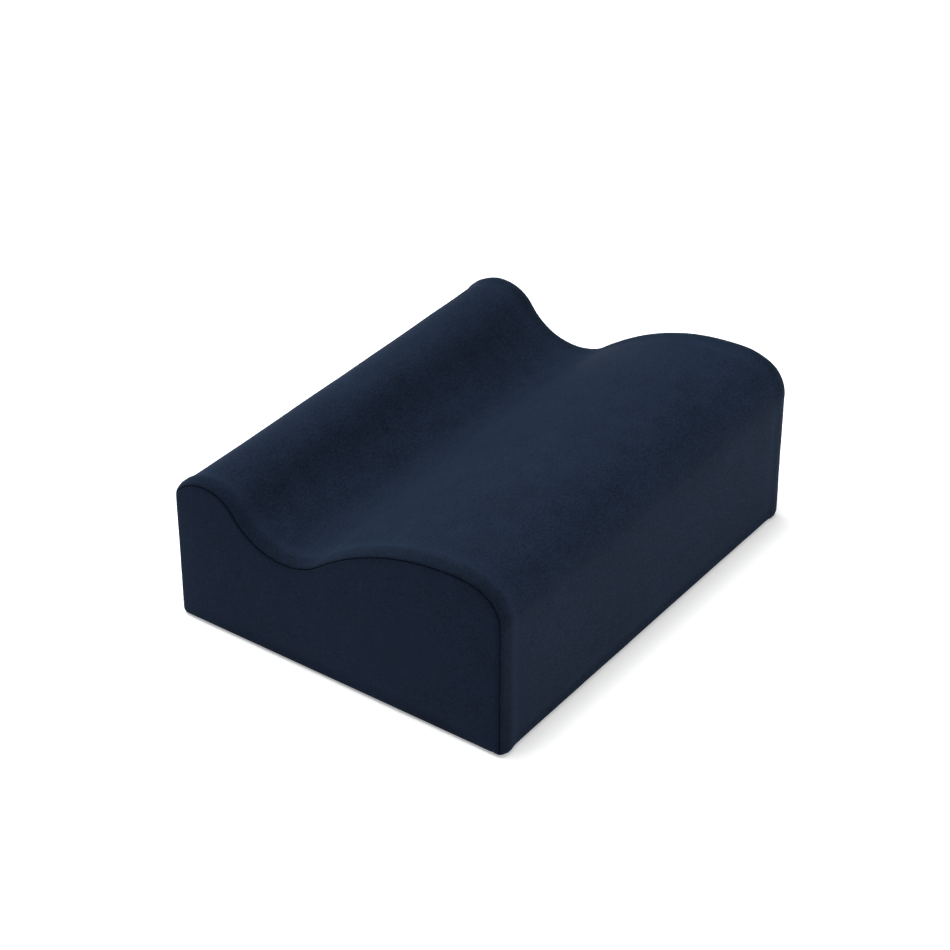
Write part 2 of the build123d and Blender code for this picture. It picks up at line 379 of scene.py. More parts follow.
@dataclass(frozen=True)
class KnitMesh(Finish):
    """Thin white warp knit with rows of fine loops."""

    name: str = "liner_knit"
    colour: Colour = (0.72, 0.72, 0.69)
    dark: float = 0.8
    light: float = 1.08
    loop: float = 0.9 * MM

    def make(self) -> bpy.types.Material:
        """Returns the material."""
        recipe = Recipe(self.name, {"Sheen Weight": 0.15, "Specular IOR Level": 0.25})
        wales = (recipe.axis("X") * (math.tau / self.loop)).wave()
        courses = ((recipe.axis("Y") + recipe.axis("Z")) * (math.tau / self.loop)).wave()
        loops = wales * courses
        tone = loops * 0.7 + recipe.cloud(12 * MM) * 0.3
        colour = self.tones(recipe, tone)
        return recipe.finish(colour, recipe.cloud(5 * MM) * 0.15 + 0.75, loops, 0.2 * MM)


@dataclass(frozen=True)
class FoamCells(Finish):
    """Open-celled polyurethane foam, slightly yellowed in patches."""

    name: str = "polyurethane_foam"
    colour: Colour = (0.76, 0.70, 0.52)
    dark: float = 0.72
    light: float = 1.12
    cell: float = 1.1 * MM

    def make(self) -> bpy.types.Material:
        """Returns the material."""
        recipe = Recipe(self.name, {"Specular IOR Level": 0.2})
        pores = recipe.cells(self.cell).between(0.1, 0.55)
        patches = recipe.cloud(45 * MM, detail=3.0)
        tone = pores * -0.45 + patches * 0.6 + 0.4
        colour = self.tones(recipe, tone)
        return recipe.finish(colour, patches * 0.1 + 0.82, 1.0 - pores, 0.3 * MM)


@dataclass(frozen=True)
class ZipTapeWeave(Finish):
    """Woven polyester tape with fine ribs that cross slantwise."""

    name: str = "zip_tape_weave"
    colour: Colour = (0.014, 0.020, 0.036)
    dark: float = 0.7
    light: float = 1.5
    rib: float = 0.7 * MM

    def make(self) -> bpy.types.Material:
        """Returns the material."""
        recipe = Recipe(self.name, {"Sheen Weight": 0.1, "Specular IOR Level": 0.3})
        along = recipe.axis("X") * (math.tau / self.rib)
        across = recipe.axis("Z") * (math.tau / self.rib)
        ribs = (along + across).wave() * 0.5 + (along - across).wave() * 0.5
        colour = self.tones(recipe, ribs)
        return recipe.finish(colour, recipe.cloud(3 * MM) * 0.15 + 0.6, ribs, 0.12 * MM)


@dataclass(frozen=True)
class NylonCoil(Finish):
    """Dyed nylon monofilament, slightly glossy."""

    name: str = "zip_coil_nylon"
    colour: Colour = (0.012, 0.018, 0.034)
    dark: float = 0.8
    light: float = 1.6

    def make(self) -> bpy.types.Material:
        """Returns the material."""
        recipe = Recipe(self.name, {"Specular IOR Level": 0.5})
        smears = recipe.cloud(0.8 * MM, detail=3.0)
        colour = self.tones(recipe, smears)
        return recipe.finish(colour, smears * 0.2 + 0.28, smears, 0.03 * MM)


@dataclass(frozen=True)
class LacqueredMetal:
    """Die-cast zip metal under dark lacquer, with faint casting marks and rubbed patches."""

    name: str = "zip_metal_lacquer"
    colour: Colour = (0.030, 0.033, 0.042)
    worn: Colour = (0.16, 0.155, 0.15)

    def make(self) -> bpy.types.Material:
        """Returns the material."""
        recipe = Recipe(self.name, {"Metallic": 0.65, "Coat Weight": 0.25, "Coat Roughness": 0.2})
        marks = recipe.cloud(0.5 * MM, detail=4.0, roughness=0.7)
        rubbed = recipe.cloud(2.4 * MM, detail=3.0).between(0.56, 0.72)
        colour = recipe.blend(rubbed * 0.5, self.colour, self.worn)
        return recipe.finish(colour, marks * 0.22 + 0.24, marks, 0.03 * MM)


@dataclass(frozen=True)
class LabelSatin(Finish):
    """White woven satin ribbon with fine ribs across it."""

    name: str = "label_satin"
    colour: Colour = (0.52, 0.52, 0.50)
    dark: float = 0.88
    light: float = 1.06
    rib: float = 0.45 * MM

    def make(self) -> bpy.types.Material:
        """Returns the material."""
        recipe = Recipe(self.name, {"Specular IOR Level": 0.4, "Sheen Weight": 0.2})
        ribs = (recipe.axis("Z") * (math.tau / self.rib)).wave()
        soft = recipe.cloud(6 * MM)
        colour = self.tones(recipe, ribs * 0.5 + soft * 0.5)
        return recipe.finish(colour, ribs * 0.12 + 0.38, ribs, 0.05 * MM)


@dataclass(frozen=True)
class PaleFloor:
    """A plain, pale, matt studio floor, lit from below and more so further out."""

    name: str = "studio_floor"
    colour: Colour = (0.93, 0.93, 0.93)
    glow: Colour = (0.40, 0.40, 0.40)
    far_glow: Colour = (1.05, 1.05, 1.05)
    near: float = 1.1
    far: float = 2.6

    def make(self) -> bpy.types.Material:
        """Returns the material."""
        constants = {
            "Base Color": (*self.colour, 1.0),
            "Roughness": 0.9,
            "Specular IOR Level": 0.0,
            "Emission Strength": 1.0,
        }
        recipe = Recipe(self.name, constants)
        reach = (recipe.axis("X") ** 2.0 + recipe.axis("Y") ** 2.0) ** 0.5
        glow = recipe.blend(reach.between(self.near, self.far), self.glow, self.far_glow)
        recipe.plug(glow, recipe.shader.inputs["Emission Color"])
        return recipe.material


# ---- mesh helpers ------------------------------------------------------------


def new_piece(name: str, vertices: Sequence[Vector], faces: Sequence[Sequence[int]]) -> bpy.types.Object:
    """Makes a mesh object at the origin.

    Args:
        name: The object's name.
        vertices: Its points, in metres.
        faces: Its faces, as indices into vertices.

    Returns:
        The new object.
    """
    mesh = bpy.data.meshes.new(name)
    mesh.from_pydata(vertices, [], faces)
    mesh.update()
    piece = bpy.data.objects.new(name, mesh)
    bpy.context.scene.collection.objects.link(piece)
    return piece


def cut_out(
    name: str, mesh: bpy.types.Mesh, faces: list[tuple[int, ...]], thickness: float, crease: float
) -> bpy.types.Object:
    """Copies some of a mesh's faces into a piece of cloth of their own.

    Args:
        name: The new piece's name.
        mesh: The mesh that they are cut from.
        faces: The faces, as indices into its vertices.
        thickness: The cloth's thickness, inwards from the faces.
        crease: The angle from which an edge is shaded sharp.

    Returns:
        The piece.
    """
    used = sorted({index for face in faces for index in face})
    numbering = {old: new for new, old in enumerate(used)}
    piece = new_piece(
        name,
        [mesh.vertices[index].co.copy() for index in used],
        [tuple(numbering[index] for index in face) for face in faces],
    )
    bake_modifier(piece, "SOLIDIFY", thickness=thickness, offset=-1.0)
    smooth(piece, crease)
    return piece


def back_grid(
    name: str, middle: Vector, size: tuple[float, float], divisions: tuple[int, int]
) -> bpy.types.Object:
    """Makes a flat upright grid that faces back.

    Args:
        name: The piece's name.
        middle: Its middle.
        size: Its length along X and its height.
        divisions: How many parts it has along X and upwards.

    Returns:
        The piece.
    """
    columns, rows = divisions
    bpy.ops.object.select_all(action="DESELECT")
    bpy.ops.mesh.primitive_grid_add(
        x_subdivisions=columns, y_subdivisions=rows, size=1.0, location=middle, rotation=FACING_BACK
    )
    piece = bpy.context.object
    piece.name = name
    piece.scale = (*size, 1.0)
    settle_place(piece)
    return piece


def corners(node: str) -> tuple[Vector, Vector]:
    """Returns the lowest and the highest corner of a CAD node."""
    low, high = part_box(node)
    return Vector(low), Vector(high)


def pick(piece: bpy.types.Object) -> None:
    """Makes a piece the only one selected, and the active one."""
    bpy.ops.object.select_all(action="DESELECT")
    piece.select_set(True)
    bpy.context.view_layer.objects.active = piece


def bake_modifier(piece: bpy.types.Object, kind: str, **settings: object) -> None:
    """Adds one modifier to a piece and applies it.

    Args:
        piece: The piece.
        kind: The modifier's type.
        settings: Its settings.
    """
    modifier = piece.modifiers.new(kind.title(), kind)
    for key, value in settings.items():
        setattr(modifier, key, value)
    pick(piece)
    bpy.ops.object.modifier_apply(modifier=modifier.name)


def settle_place(piece: bpy.types.Object) -> None:
    """Moves a piece's place, turn and scale into its mesh."""
    pick(piece)
    bpy.ops.object.transform_apply(location=True, rotation=True, scale=True)


def smooth(piece: bpy.types.Object, angle: float = math.radians(180)) -> None:
    """Shades a piece smooth, with creases sharper than angle kept."""
    pick(piece)
    if angle >= math.pi:
        bpy.ops.object.shade_smooth()
    else:
        bpy.ops.object.shade_smooth_by_angle(angle=angle)


def dress(
    piece: bpy.types.Object, material: bpy.types.Material, slot: str, body: str, *nodes: str
) -> None:
    """Gives a piece its material and body, and lets it stand for CAD nodes.

    Args:
        piece: The piece.
        material: Its material.
        slot: The record's material slot; not used.
        body: The body that it rides on.
        nodes: The CAD nodes that it replaces.
    """
    piece.data.materials.clear()
    piece.data.materials.append(material)
    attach(piece, body)
    if nodes:
        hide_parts(*nodes)
    LOG.info("%s: %d faces, rides on %s, replaces %s", piece.name, len(piece.data.polygons), body, nodes)


# ---- the pillow's outline ----------------------------------------------------


@dataclass(frozen=True)
class Run:
    """A straight stretch of the outline, with the places along it that need a vertex."""

    length: float
    marks: tuple[float, ...] = ()


@dataclass(frozen=True)
class Bend:
    """A round stretch of the outline: radius, and turn in radians, negative to the right."""

    radius: float
    turn: float


@dataclass(frozen=True)
class Outline:
    """The side outline of the block, from its front wall over the top to its underside."""

    depth: float
    hump_height: float = 140 * MM
    hump_setback: float = 39 * MM
    shoulder_radius: float = 28 * MM
    brow_radius: float = 58 * MM
    valley_height: float = 87 * MM
    valley_setback: float = 99 * MM
    valley_radius: float = 50 * MM
    crest_height: float = 124 * MM
    crest_setback: float = 29.5 * MM
    crest_back_radius: float = 36 * MM
    back_edge_radius: float = 13 * MM
    base_radius: float = 5 * MM
    back_marks: tuple[float, ...] = ()
    base_marks: tuple[float, ...] = ()

    def stretches(self) -> list[Run | Bend]:
        """Returns the runs and bends in order, starting up the front wall."""
        brow_gap = self.brow_radius - self.shoulder_radius
        brow_turn = math.asin((self.hump_setback - self.shoulder_radius) / brow_gap)
        crest_gap = self.crest_back_radius - self.back_edge_radius
        crest_turn = math.asin((self.crest_setback - self.back_edge_radius) / crest_gap)
        slope_run = self.depth - self.valley_setback - self.hump_setback
        slope_turn = 2 * math.atan((self.hump_height - self.valley_height) / slope_run)
        rise_run = self.valley_setback - self.crest_setback
        rise_turn = 2 * math.atan((self.crest_height - self.valley_height) / rise_run)
        front_top = self.hump_height - self.brow_radius + brow_gap * math.cos(brow_turn)
        back_top = self.crest_height - self.crest_back_radius + crest_gap * math.cos(crest_turn)
        quarter = math.pi / 2
        return [
            Run(front_top - self.base_radius),
            Bend(self.shoulder_radius, brow_turn - quarter),
            Bend(self.brow_radius, -brow_turn),
            Bend(slope_run / math.sin(slope_turn) - self.valley_radius, -slope_turn),
            Bend(self.valley_radius, slope_turn + rise_turn),
            Bend(rise_run / math.sin(rise_turn) - self.valley_radius, -rise_turn),
            Bend(self.crest_back_radius, -crest_turn),
            Bend(self.back_edge_radius, crest_turn - quarter),
            Run(back_top - self.base_radius, tuple(back_top - z for z in self.back_marks)),
            Bend(self.base_radius, -quarter),
            Run(
                self.depth - 2 * self.base_radius,
                tuple(self.depth / 2 - self.base_radius - y for y in self.base_marks),
            ),
            Bend(self.base_radius, -quarter),
        ]

    def loop(self, inset: float, spacing: float) -> list[Point2]:
        """Walks the outline moved inwards, with the same count of points for any inset.

        Args:
            inset: How far inwards, in metres.
            spacing: The largest gap between points of the full outline.

        Returns:
            The closed loop's points as (y, z).
        """
        place = Vector((-self.depth / 2 + inset, self.base_radius))
        heading = math.pi / 2
        points = []
        for stretch in self.stretches():
            if isinstance(stretch, Run):
                ahead = Vector((math.cos(heading), math.sin(heading)))
                for step in even_steps(0.0, stretch.length, spacing, stretch.marks)[:-1]:
                    points.append(tuple(place + ahead * step))
                place = place + ahead * stretch.length
                continue
            side = math.copysign(1.0, stretch.turn)
            radius = stretch.radius + side * inset
            centre = place + Vector((-math.sin(heading), math.cos(heading))) * side * radius
            arc = stretch.radius * abs(stretch.turn)
            count = max(3, math.ceil(arc / spacing), math.ceil(abs(stretch.turn) / math.radians(12)))
            for step in range(count + 1):
                angle = heading + stretch.turn * step / count
                place = centre + Vector((math.sin(angle), -math.cos(angle))) * side * radius
                if step < count:
                    points.append(tuple(place))
            heading += stretch.turn
        return points

    def area(self) -> float:
        """Returns the area inside the full outline, in square metres."""
        points = self.loop(0.0, 2 * MM)
        crossed = (a[0] * b[1] - b[0] * a[1] for a, b in zip(points, points[1:] + points[:1]))
        return abs(sum(crossed)) / 2


def even_steps(start: float, end: float, spacing: float, marks: Iterable[float] = ()) -> list[float]:
    """Divides a length evenly between its marks.

    Args:
        start: Where it starts.
        end: Where it ends.
        spacing: The largest gap.
        marks: Places that must be in the result.

    Returns:
        All places in rising order, start and end included.
    """
    stops = sorted({start, end, *(mark for mark in marks if start < mark < end)})
    places = [start]
    for low, high in zip(stops, stops[1:]):
        count = max(1, math.ceil((high - low) / spacing - 1e-6))
        places += [low + (high - low) * step / count for step in range(1, count + 1)]
    return places


# ---- cover -------------------------------------------------------------------


class Zone(Enum):
    """The fabric panels of the bag, and the mouth that the zip fills."""

    WRAP = "wrap_velour"
    BASE = "base_velour"
    LEFT = "end_velour_left"
    RIGHT = "end_velour_right"
    MOUTH = "zip_mouth"


@dataclass(frozen=True)
class Station:
    """One ring of the bag: its place along X, its inset, how far it is from the end seam
    (negative on the end panel), and how far it has shrunk towards the middle of the end."""

    x: float
    inset: float
    from_seam: float
    shrink: float = 0.0


@dataclass(frozen=True)
class Seams:
    """Where the cover is sewn, in metres."""

    end_inset: float = 2.2 * MM
    base_setback: float = 9.0 * MM
    zip_height: float = 22.0 * MM
    lip_gap: float = 11.0 * MM
    mouth_length: float = 334.0 * MM
    topstitch_offset: float = 2.5 * MM

    @property
    def lip_low(self) -> float:
        """The height of the lower lip of the zip's mouth."""
        return self.zip_height - self.lip_gap / 2

    @property
    def lip_high(self) -> float:
        """The height of the upper lip of the zip's mouth."""
        return self.zip_height + self.lip_gap / 2


class Rings:
    """A closed block surface made of rings of vertices from one end to the other."""

    END_SHRINKS = (0.05, 0.12, 0.2, 0.3, 0.4, 0.5, 0.6, 0.7, 0.8, 0.9)
    SPINE_MARGIN = 45 * MM
    SPINE_HEIGHT = 43 * MM
    TURN_STEP = 15
    TURN_CLEARANCE = 0.03
    EDGE_STEPS = (1.5 * MM, 4 * MM)
    TINY = 1e-6

    def __init__(
        self,
        outline: Outline,
        length: float,
        inset: float,
        rounding: float,
        seam_inset: float,
        spacing: float,
        groove_steps: tuple[float, ...] = (),
        x_marks: tuple[float, ...] = (),
    ) -> None:
        """Lays the rings out.

        Args:
            outline: The block's side outline.
            length: The whole block's length.
            inset: How far inside the block this surface lies.
            rounding: The radius of its end edges.
            seam_inset: How far in from its outline the end seam runs.
            spacing: The largest gap between vertices.
            groove_steps: Distances beside the seam that get rings of their own.
            x_marks: Places along X, on both sides, that get rings of their own.
        """
        self.outline = outline
        self.length = length
        self.inset = inset
        self.rounding = rounding
        self.spacing = spacing
        self.seam_angle = math.acos(max(0.0, 1 - seam_inset / rounding))
        self.stations = self.lay_out(groove_steps, x_marks)
        self.loops = [self.ring(station) for station in self.stations]
        self.count = len(self.loops[0])

    def lay_out(self, groove_steps: tuple[float, ...], x_marks: tuple[float, ...]) -> list[Station]:
        """Returns the stations from the left end's middle to the right end's middle."""
        half = self.length / 2 - self.inset
        angles = {math.radians(degrees) for degrees in range(0, 91, self.TURN_STEP)}
        near = [step / self.rounding for step in groove_steps]
        clear = [n + self.TURN_CLEARANCE for n in near[-1:]]
        keep = [a for a in angles if all(abs(a - self.seam_angle) > gap for gap in clear)]
        close = [self.seam_angle + side * n for n in near for side in (-1, 1)]
        turns = sorted({*keep, *(a for a in close if 0 < a < math.pi / 2), self.seam_angle}, reverse=True)
        if turns[0] < math.pi / 2 - self.TINY:
            turns.insert(0, math.pi / 2)
        flat_start = (self.seam_angle - math.pi / 2) * self.rounding
        left = []
        for shrink in reversed(self.END_SHRINKS):
            reach = shrink * self.SPINE_HEIGHT
            left.append(Station(-half, self.inset + self.rounding, flat_start - reach, shrink))
        for angle in turns:
            depth = self.inset + self.rounding * (1 - math.cos(angle))
            place = -half + self.rounding * (1 - math.sin(angle))
            left.append(Station(place, depth, (self.seam_angle - angle) * self.rounding))
        edge = half - self.rounding
        marks = [side * mark for mark in x_marks for side in (-1, 1)]
        marks += [side * (edge - step) for step in self.EDGE_STEPS for side in (-1, 1)]
        middle = [
            Station(x, self.inset, self.seam_angle * self.rounding + edge - abs(x))
            for x in even_steps(-edge, edge, self.spacing, marks)[1:-1]
        ]
        right = [Station(-s.x, s.inset, s.from_seam, s.shrink) for s in reversed(left)]
        return left + middle + right

    def ring(self, station: Station) -> list[Vector]:
        """Returns the points of one ring."""
        points = []
        low = -self.outline.depth / 2 + self.SPINE_MARGIN
        for y, z in self.outline.loop(station.inset, self.spacing):
            spine = Vector((station.x, min(max(y, low), -low), self.SPINE_HEIGHT))
            points.append(Vector((station.x, y, z)).lerp(spine, station.shrink))
        return points

    def seam_ring(self, side: int) -> int:
        """Returns the index of the seam's ring at the left (-1) or right (1) end."""
        order = range(len(self.stations)) if side < 0 else range(len(self.stations) - 1, -1, -1)
        return next(i for i in order if self.stations[i].from_seam >= -1e-9)

    def seam_path(self, mesh: bpy.types.Mesh, side: int) -> Path:
        """Returns the points and outward directions of one end seam, on a mesh of these rings."""
        first = self.seam_ring(side) * self.count
        vertices = [mesh.vertices[first + step] for step in range(self.count)]
        return [v.co.copy() for v in vertices], [v.normal.copy() for v in vertices]

    def build(self, name: str) -> bpy.types.Object:
        """Makes the closed surface, with faces pointing outwards.

        Args:
            name: The object's name.

        Returns:
            The object, whose vertices are in ring order.
        """
        vertices = [point for loop in self.loops for point in loop]
        faces = []
        for ring in range(len(self.loops) - 1):
            for step in range(self.count):
                a = ring * self.count + step
                b = ring * self.count + (step + 1) % self.count
                faces.append((a, a + self.count, b + self.count, b))
        piece = new_piece(name, vertices, faces)
        shape = bmesh.new()
        shape.from_mesh(piece.data)
        shape.verts.ensure_lookup_table()
        for side in (-1, 1):
            rim = [e for e in shape.edges if e.is_boundary and e.verts[0].co.x * side > 0]
            bmesh.ops.triangle_fill(
                shape, edges=rim, use_beauty=True, use_dissolve=False, normal=(side, 0, 0)
            )
        bmesh.ops.recalc_face_normals(shape, faces=shape.faces)
        shape.to_mesh(piece.data)
        shape.free()
        return piece


class Ripple:
    """Small unevenness of soft goods, the same on every run."""

    @staticmethod
    def at(place: Vector, size: float, seed: float) -> float:
        """Returns smooth noise from about -1 to 1.

        Args:
            place: Where, in metres.
            size: The size of its waves, in metres.
            seed: A number that moves the pattern.

        Returns:
            The noise.
        """
        return noise.noise(place / size + Vector((seed, seed * 0.7, -seed)))


@dataclass(frozen=True)
class FabricSettling:
    """Cloth simulation of the bag on its foam, run on a coarse copy."""

    voxel: float = 7 * MM
    pressure: float = 4.0
    frames: int = 20
    largest_move: float = 1.9 * MM
    seam_hold: float = 7 * MM
    neighbours: int = 6
    nearest: float = 0.5 * MM
    quality: int = 5
    mass: float = 0.25
    stretch_stiffness: float = 25.0
    bend_stiffness: float = 4.0

    def run(self, bag: bpy.types.Object, held: Callable[[Vector], bool]) -> None:
        """Moves the bag's vertices to where the stretched fabric settles.

        Args:
            bag: The closed bag.
            held: Says whether a point is held still, such as at a seam or on the floor.
        """
        coarse = bag.copy()
        coarse.data = bag.data.copy()
        bpy.context.scene.collection.objects.link(coarse)
        bake_modifier(coarse, "REMESH", mode="VOXEL", voxel_size=self.voxel)
        start = [vertex.co.copy() for vertex in coarse.data.vertices]
        group = coarse.vertex_groups.new(name="held")
        group.add([i for i, place in enumerate(start) if held(place)], 1.0, "REPLACE")
        cloth = coarse.modifiers.new("Cloth", "CLOTH")
        cloth.settings.quality = self.quality
        cloth.settings.mass = self.mass
        cloth.settings.tension_stiffness = self.stretch_stiffness
        cloth.settings.compression_stiffness = self.stretch_stiffness
        cloth.settings.bending_stiffness = self.bend_stiffness
        cloth.settings.vertex_group_mass = group.name
        cloth.settings.use_pressure = True
        cloth.settings.uniform_pressure_force = self.pressure
        cloth.settings.effector_weights.gravity = 0.0
        cloth.point_cache.frame_end = self.frames
        scene = bpy.context.scene
        for frame in range(1, self.frames + 1):
            scene.frame_set(frame)
        settled = coarse.evaluated_get(bpy.context.evaluated_depsgraph_get())
        moves = [settled.data.vertices[i].co - place for i, place in enumerate(start)]
        LOG.info("settling: %d points, largest %.1f mm", len(moves), max(m.length for m in moves) / MM)
        scene.frame_set(1)
        bpy.data.objects.remove(coarse)
        self.follow(bag, start, moves)

    def follow(self, bag: bpy.types.Object, start: list[Vector], moves: list[Vector]) -> None:
        """Spreads the coarse copy's moves over the bag, with a soft limit on each.

        Args:
            bag: The closed bag.
            start: The coarse copy's points.
            moves: How far each moved.
        """
        tree = kdtree.KDTree(len(start))
        for index, place in enumerate(start):
            tree.insert(place, index)
        tree.balance()
        for vertex in bag.data.vertices:
            total = Vector()
            weights = 0.0
            for _, index, distance in tree.find_n(vertex.co, self.neighbours):
                weight = 1.0 / (distance + self.nearest) ** 2
                total += moves[index] * weight
                weights += weight
            move = total / weights
            vertex.co += move * (self.largest_move / (self.largest_move + move.length))


class Cover:
    """The velour cover: a bag sewn from four panels, open along the zip's mouth."""

    THICKNESS = 1.5 * MM
    SPACING = 4 * MM
    GROOVE_STEPS = (0.35 * MM, 0.8 * MM, 1.6 * MM)
    GROOVE_DEPTH = 1.5 * MM
    GROOVE_WIDTH = 0.5 * MM
    PULL_DEPTH = 1.1 * MM
    PULL_WIDTH = 4.5 * MM
    PUFF_HEIGHT = 1.2 * MM
    PUFF_PLACE = 10.0 * MM
    PUFF_WIDTH = 4.4 * MM
    LIP_ROLL = 0.6 * MM
    LIP_DEPTH = 0.5 * MM
    LIP_WIDTH = 0.4 * MM
    STITCH_DENT = 0.35 * MM
    STITCH_WIDTH = 0.6 * MM
    STITCH_EDGE = 0.7 * MM
    BASE_SEAM_STEPS = (-1.6 * MM, -0.7 * MM, 0.0, 0.7 * MM, 1.6 * MM)
    BASE_GROOVE_SHARE = 0.7
    BASE_NORMAL = -0.6
    UNDERSIDE = 2 * MM
    BACK_BAND = 3 * MM
    FLOOR_HOLD = 4 * MM
    ZIP_HOLD = 8 * MM
    END_HOLD = 8 * MM
    RIPPLES = ((0.35 * MM, 70 * MM, 3.1), (0.12 * MM, 22 * MM, 8.7))
    SEAM_RIPPLE = (0.22 * MM, 13 * MM, 15.3)
    SEAM_RIPPLE_REACH = 9 * MM

    def __init__(self, low: Vector, high: Vector, rounding: float) -> None:
        """Lays out the bag.

        Args:
            low: The lowest corner of the cover's CAD panels.
            high: Their highest corner.
            rounding: The radius of the end edges.
        """
        self.seams = Seams()
        self.length = high.x - low.x
        depth = high.y - low.y
        seams = self.seams
        topstitch = seams.topstitch_offset
        back_marks = tuple(
            place
            for lip, away in ((seams.lip_low, -1), (seams.lip_high, 1))
            for place in (
                lip,
                lip + away * self.LIP_ROLL,
                lip + away * (topstitch - self.STITCH_EDGE),
                lip + away * topstitch,
                lip + away * (topstitch + self.STITCH_EDGE),
            )
        )
        self.seam_y = -depth / 2 + seams.base_setback
        base_marks = tuple(self.seam_y + step for step in self.BASE_SEAM_STEPS)
        self.outline = Outline(depth, back_marks=back_marks, base_marks=base_marks)
        self.rings = Rings(
            self.outline,
            self.length,
            0.0,
            rounding,
            seams.end_inset,
            self.SPACING,
            self.GROOVE_STEPS,
            (seams.mouth_length / 2, seams.mouth_length / 2 - self.LIP_ROLL),
        )
        self.bag = self.rings.build("cover_bag")

    def station_of(self, index: int) -> Station:
        """Returns the station of one of the bag's vertices."""
        return self.rings.stations[index // self.rings.count]

    def held(self, place: Vector) -> bool:
        """Returns whether the foam, floor or zip holds the fabric still at a place."""
        on_floor = place.z < self.FLOOR_HOLD
        end = self.length / 2 - self.rings.rounding
        by_zip = self.at_back(place) and place.z < self.seams.lip_high + self.ZIP_HOLD
        at_end = abs(place.x) > end - self.END_HOLD
        distance = self.edge_tree.find(place)[2]
        return on_floor or by_zip or (at_end and distance < FabricSettling.seam_hold)

    def at_back(self, place: Vector) -> bool:
        """Returns whether a place lies on the back wall."""
        return place.y > self.outline.depth / 2 - self.BACK_BAND

    def settle(self) -> None:
        rings = [self.rings.seam_ring(side) for side in (-1, 1)]
        edge = [point for ring in rings for point in self.rings.loops[ring]]
        self.edge_tree = kdtree.KDTree(len(edge))
        for index, point in enumerate(edge):
            self.edge_tree.insert(point, index)
        self.edge_tree.balance()
        FabricSettling().run(self.bag, self.held)

    def sew(self) -> None:
        """Presses the seams, stitch lines and lips in, and makes the fabric slightly uneven."""
        mesh = self.bag.data
        mesh.update()
        normals = [vertex.normal.copy() for vertex in mesh.vertices]
        for vertex, normal in zip(mesh.vertices, normals):
            station = self.station_of(vertex.index)
            place = vertex.co.copy()
            sink = self.sink(place, station.from_seam)
            on_base = normal.z < self.BASE_NORMAL
            ripple = 0.0 if on_base else self.ripple(place, station.from_seam)
            vertex.co = place + normal * (ripple - sink)
            vertex.co.z = max(vertex.co.z, 0.0)
        mesh.update()
        faces = [tuple(face.vertices) for face in mesh.polygons]
        self.skin = BVHTree.FromPolygons([vertex.co for vertex in mesh.vertices], faces)

    def back_skin(self, x: float, z: float) -> float:
        """Returns how far back the sewn cover's outer face lies at a place on the back wall."""
        return self.skin.ray_cast(Vector((x, self.outline.depth, z)), Vector((0.0, -1.0, 0.0)))[0].y

    def sink(self, place: Vector, from_seam: float) -> float:
        """Returns how far a point is drawn in by the sewing near it, in metres."""
        near_end = abs(from_seam)
        sink = self.GROOVE_DEPTH * math.exp(-((near_end / self.GROOVE_WIDTH) ** 2))
        sink += self.PULL_DEPTH * math.exp(-near_end / self.PULL_WIDTH)
        if from_seam > 0 and place.z < self.UNDERSIDE:
            near_base = (place.y - self.seam_y) / self.GROOVE_WIDTH
            sink += self.BASE_GROOVE_SHARE * self.GROOVE_DEPTH * math.exp(-(near_base**2))
        seams = self.seams
        if self.at_back(place) and abs(place.x) < seams.mouth_length / 2 + MM:
            for lip, away in ((seams.lip_low, -1), (seams.lip_high, 1)):
                beyond = (place.z - lip) * away
                if beyond > -MM:
                    sink += self.LIP_DEPTH * math.exp(-max(beyond, 0.0) / self.LIP_WIDTH)
                from_stitch = beyond - seams.topstitch_offset
                sink += self.STITCH_DENT * math.exp(-((from_stitch / self.STITCH_WIDTH) ** 2))
        return sink

    def ripple(self, place: Vector, from_seam: float) -> float:
        """Returns the fabric's unevenness at a point, in metres."""
        total = sum(height * Ripple.at(place, size, seed) for height, size, seed in self.RIPPLES)
        height, size, seed = self.SEAM_RIPPLE
        fading = math.exp(-abs(from_seam) / self.SEAM_RIPPLE_REACH)
        total += height * Ripple.at(place, size, seed) * fading
        if from_seam > 0:
            total += self.PUFF_HEIGHT * math.exp(-(((from_seam - self.PUFF_PLACE) / self.PUFF_WIDTH) ** 2))
        return total

    def zone(self, face: bpy.types.MeshPolygon) -> Zone:
        """Returns the panel that one of the bag's faces belongs to."""
        stations = [self.station_of(index) for index in face.vertices]
        if sum(station.from_seam for station in stations) < 0:
            return Zone.LEFT if stations[0].x < 0 else Zone.RIGHT
        corners = [self.laid(index) for index in face.vertices]
        middle = sum(corners, Vector()) / len(corners)
        seams = self.seams
        if middle.y > self.seam_y and middle.z < seams.lip_low:
            return Zone.BASE
        in_gap = middle.y > 0 and seams.lip_low < middle.z < seams.lip_high
        return Zone.MOUTH if in_gap and abs(middle.x) < seams.mouth_length / 2 else Zone.WRAP

    def laid(self, index: int) -> Vector:
        """Returns where a vertex lay before the bag settled."""
        return self.rings.loops[index // self.rings.count][index % self.rings.count]

    def cut_panels(self) -> dict[Zone, bpy.types.Object]:
        """Cuts the bag along its seams into panels with the fabric's thickness.

        Returns:
            The panels by zone.
        """
        mesh = self.bag.data
        sorted_faces: dict[Zone, list[tuple[int, ...]]] = {zone: [] for zone in Zone}
        for face in mesh.polygons:
            sorted_faces[self.zone(face)].append(tuple(face.vertices))
        del sorted_faces[Zone.MOUTH]
        return {
            zone: cut_out(zone.value, mesh, faces, self.THICKNESS, CREASE)
            for zone, faces in sorted_faces.items()
        }

    def back_path(self, places: Iterable[Point2], lift: float) -> Path:
        """Returns points along the back wall, and their outward directions.

        Args:
            places: Where the points lie, as (x, z).
            lift: How far off the fabric they are.

        Returns:
            The points and the directions.
        """
        points = [Vector((x, self.back_skin(x, z) + lift, z)) for x, z in places]
        return points, [Vector((0.0, 1.0, 0.0)) for _ in points]

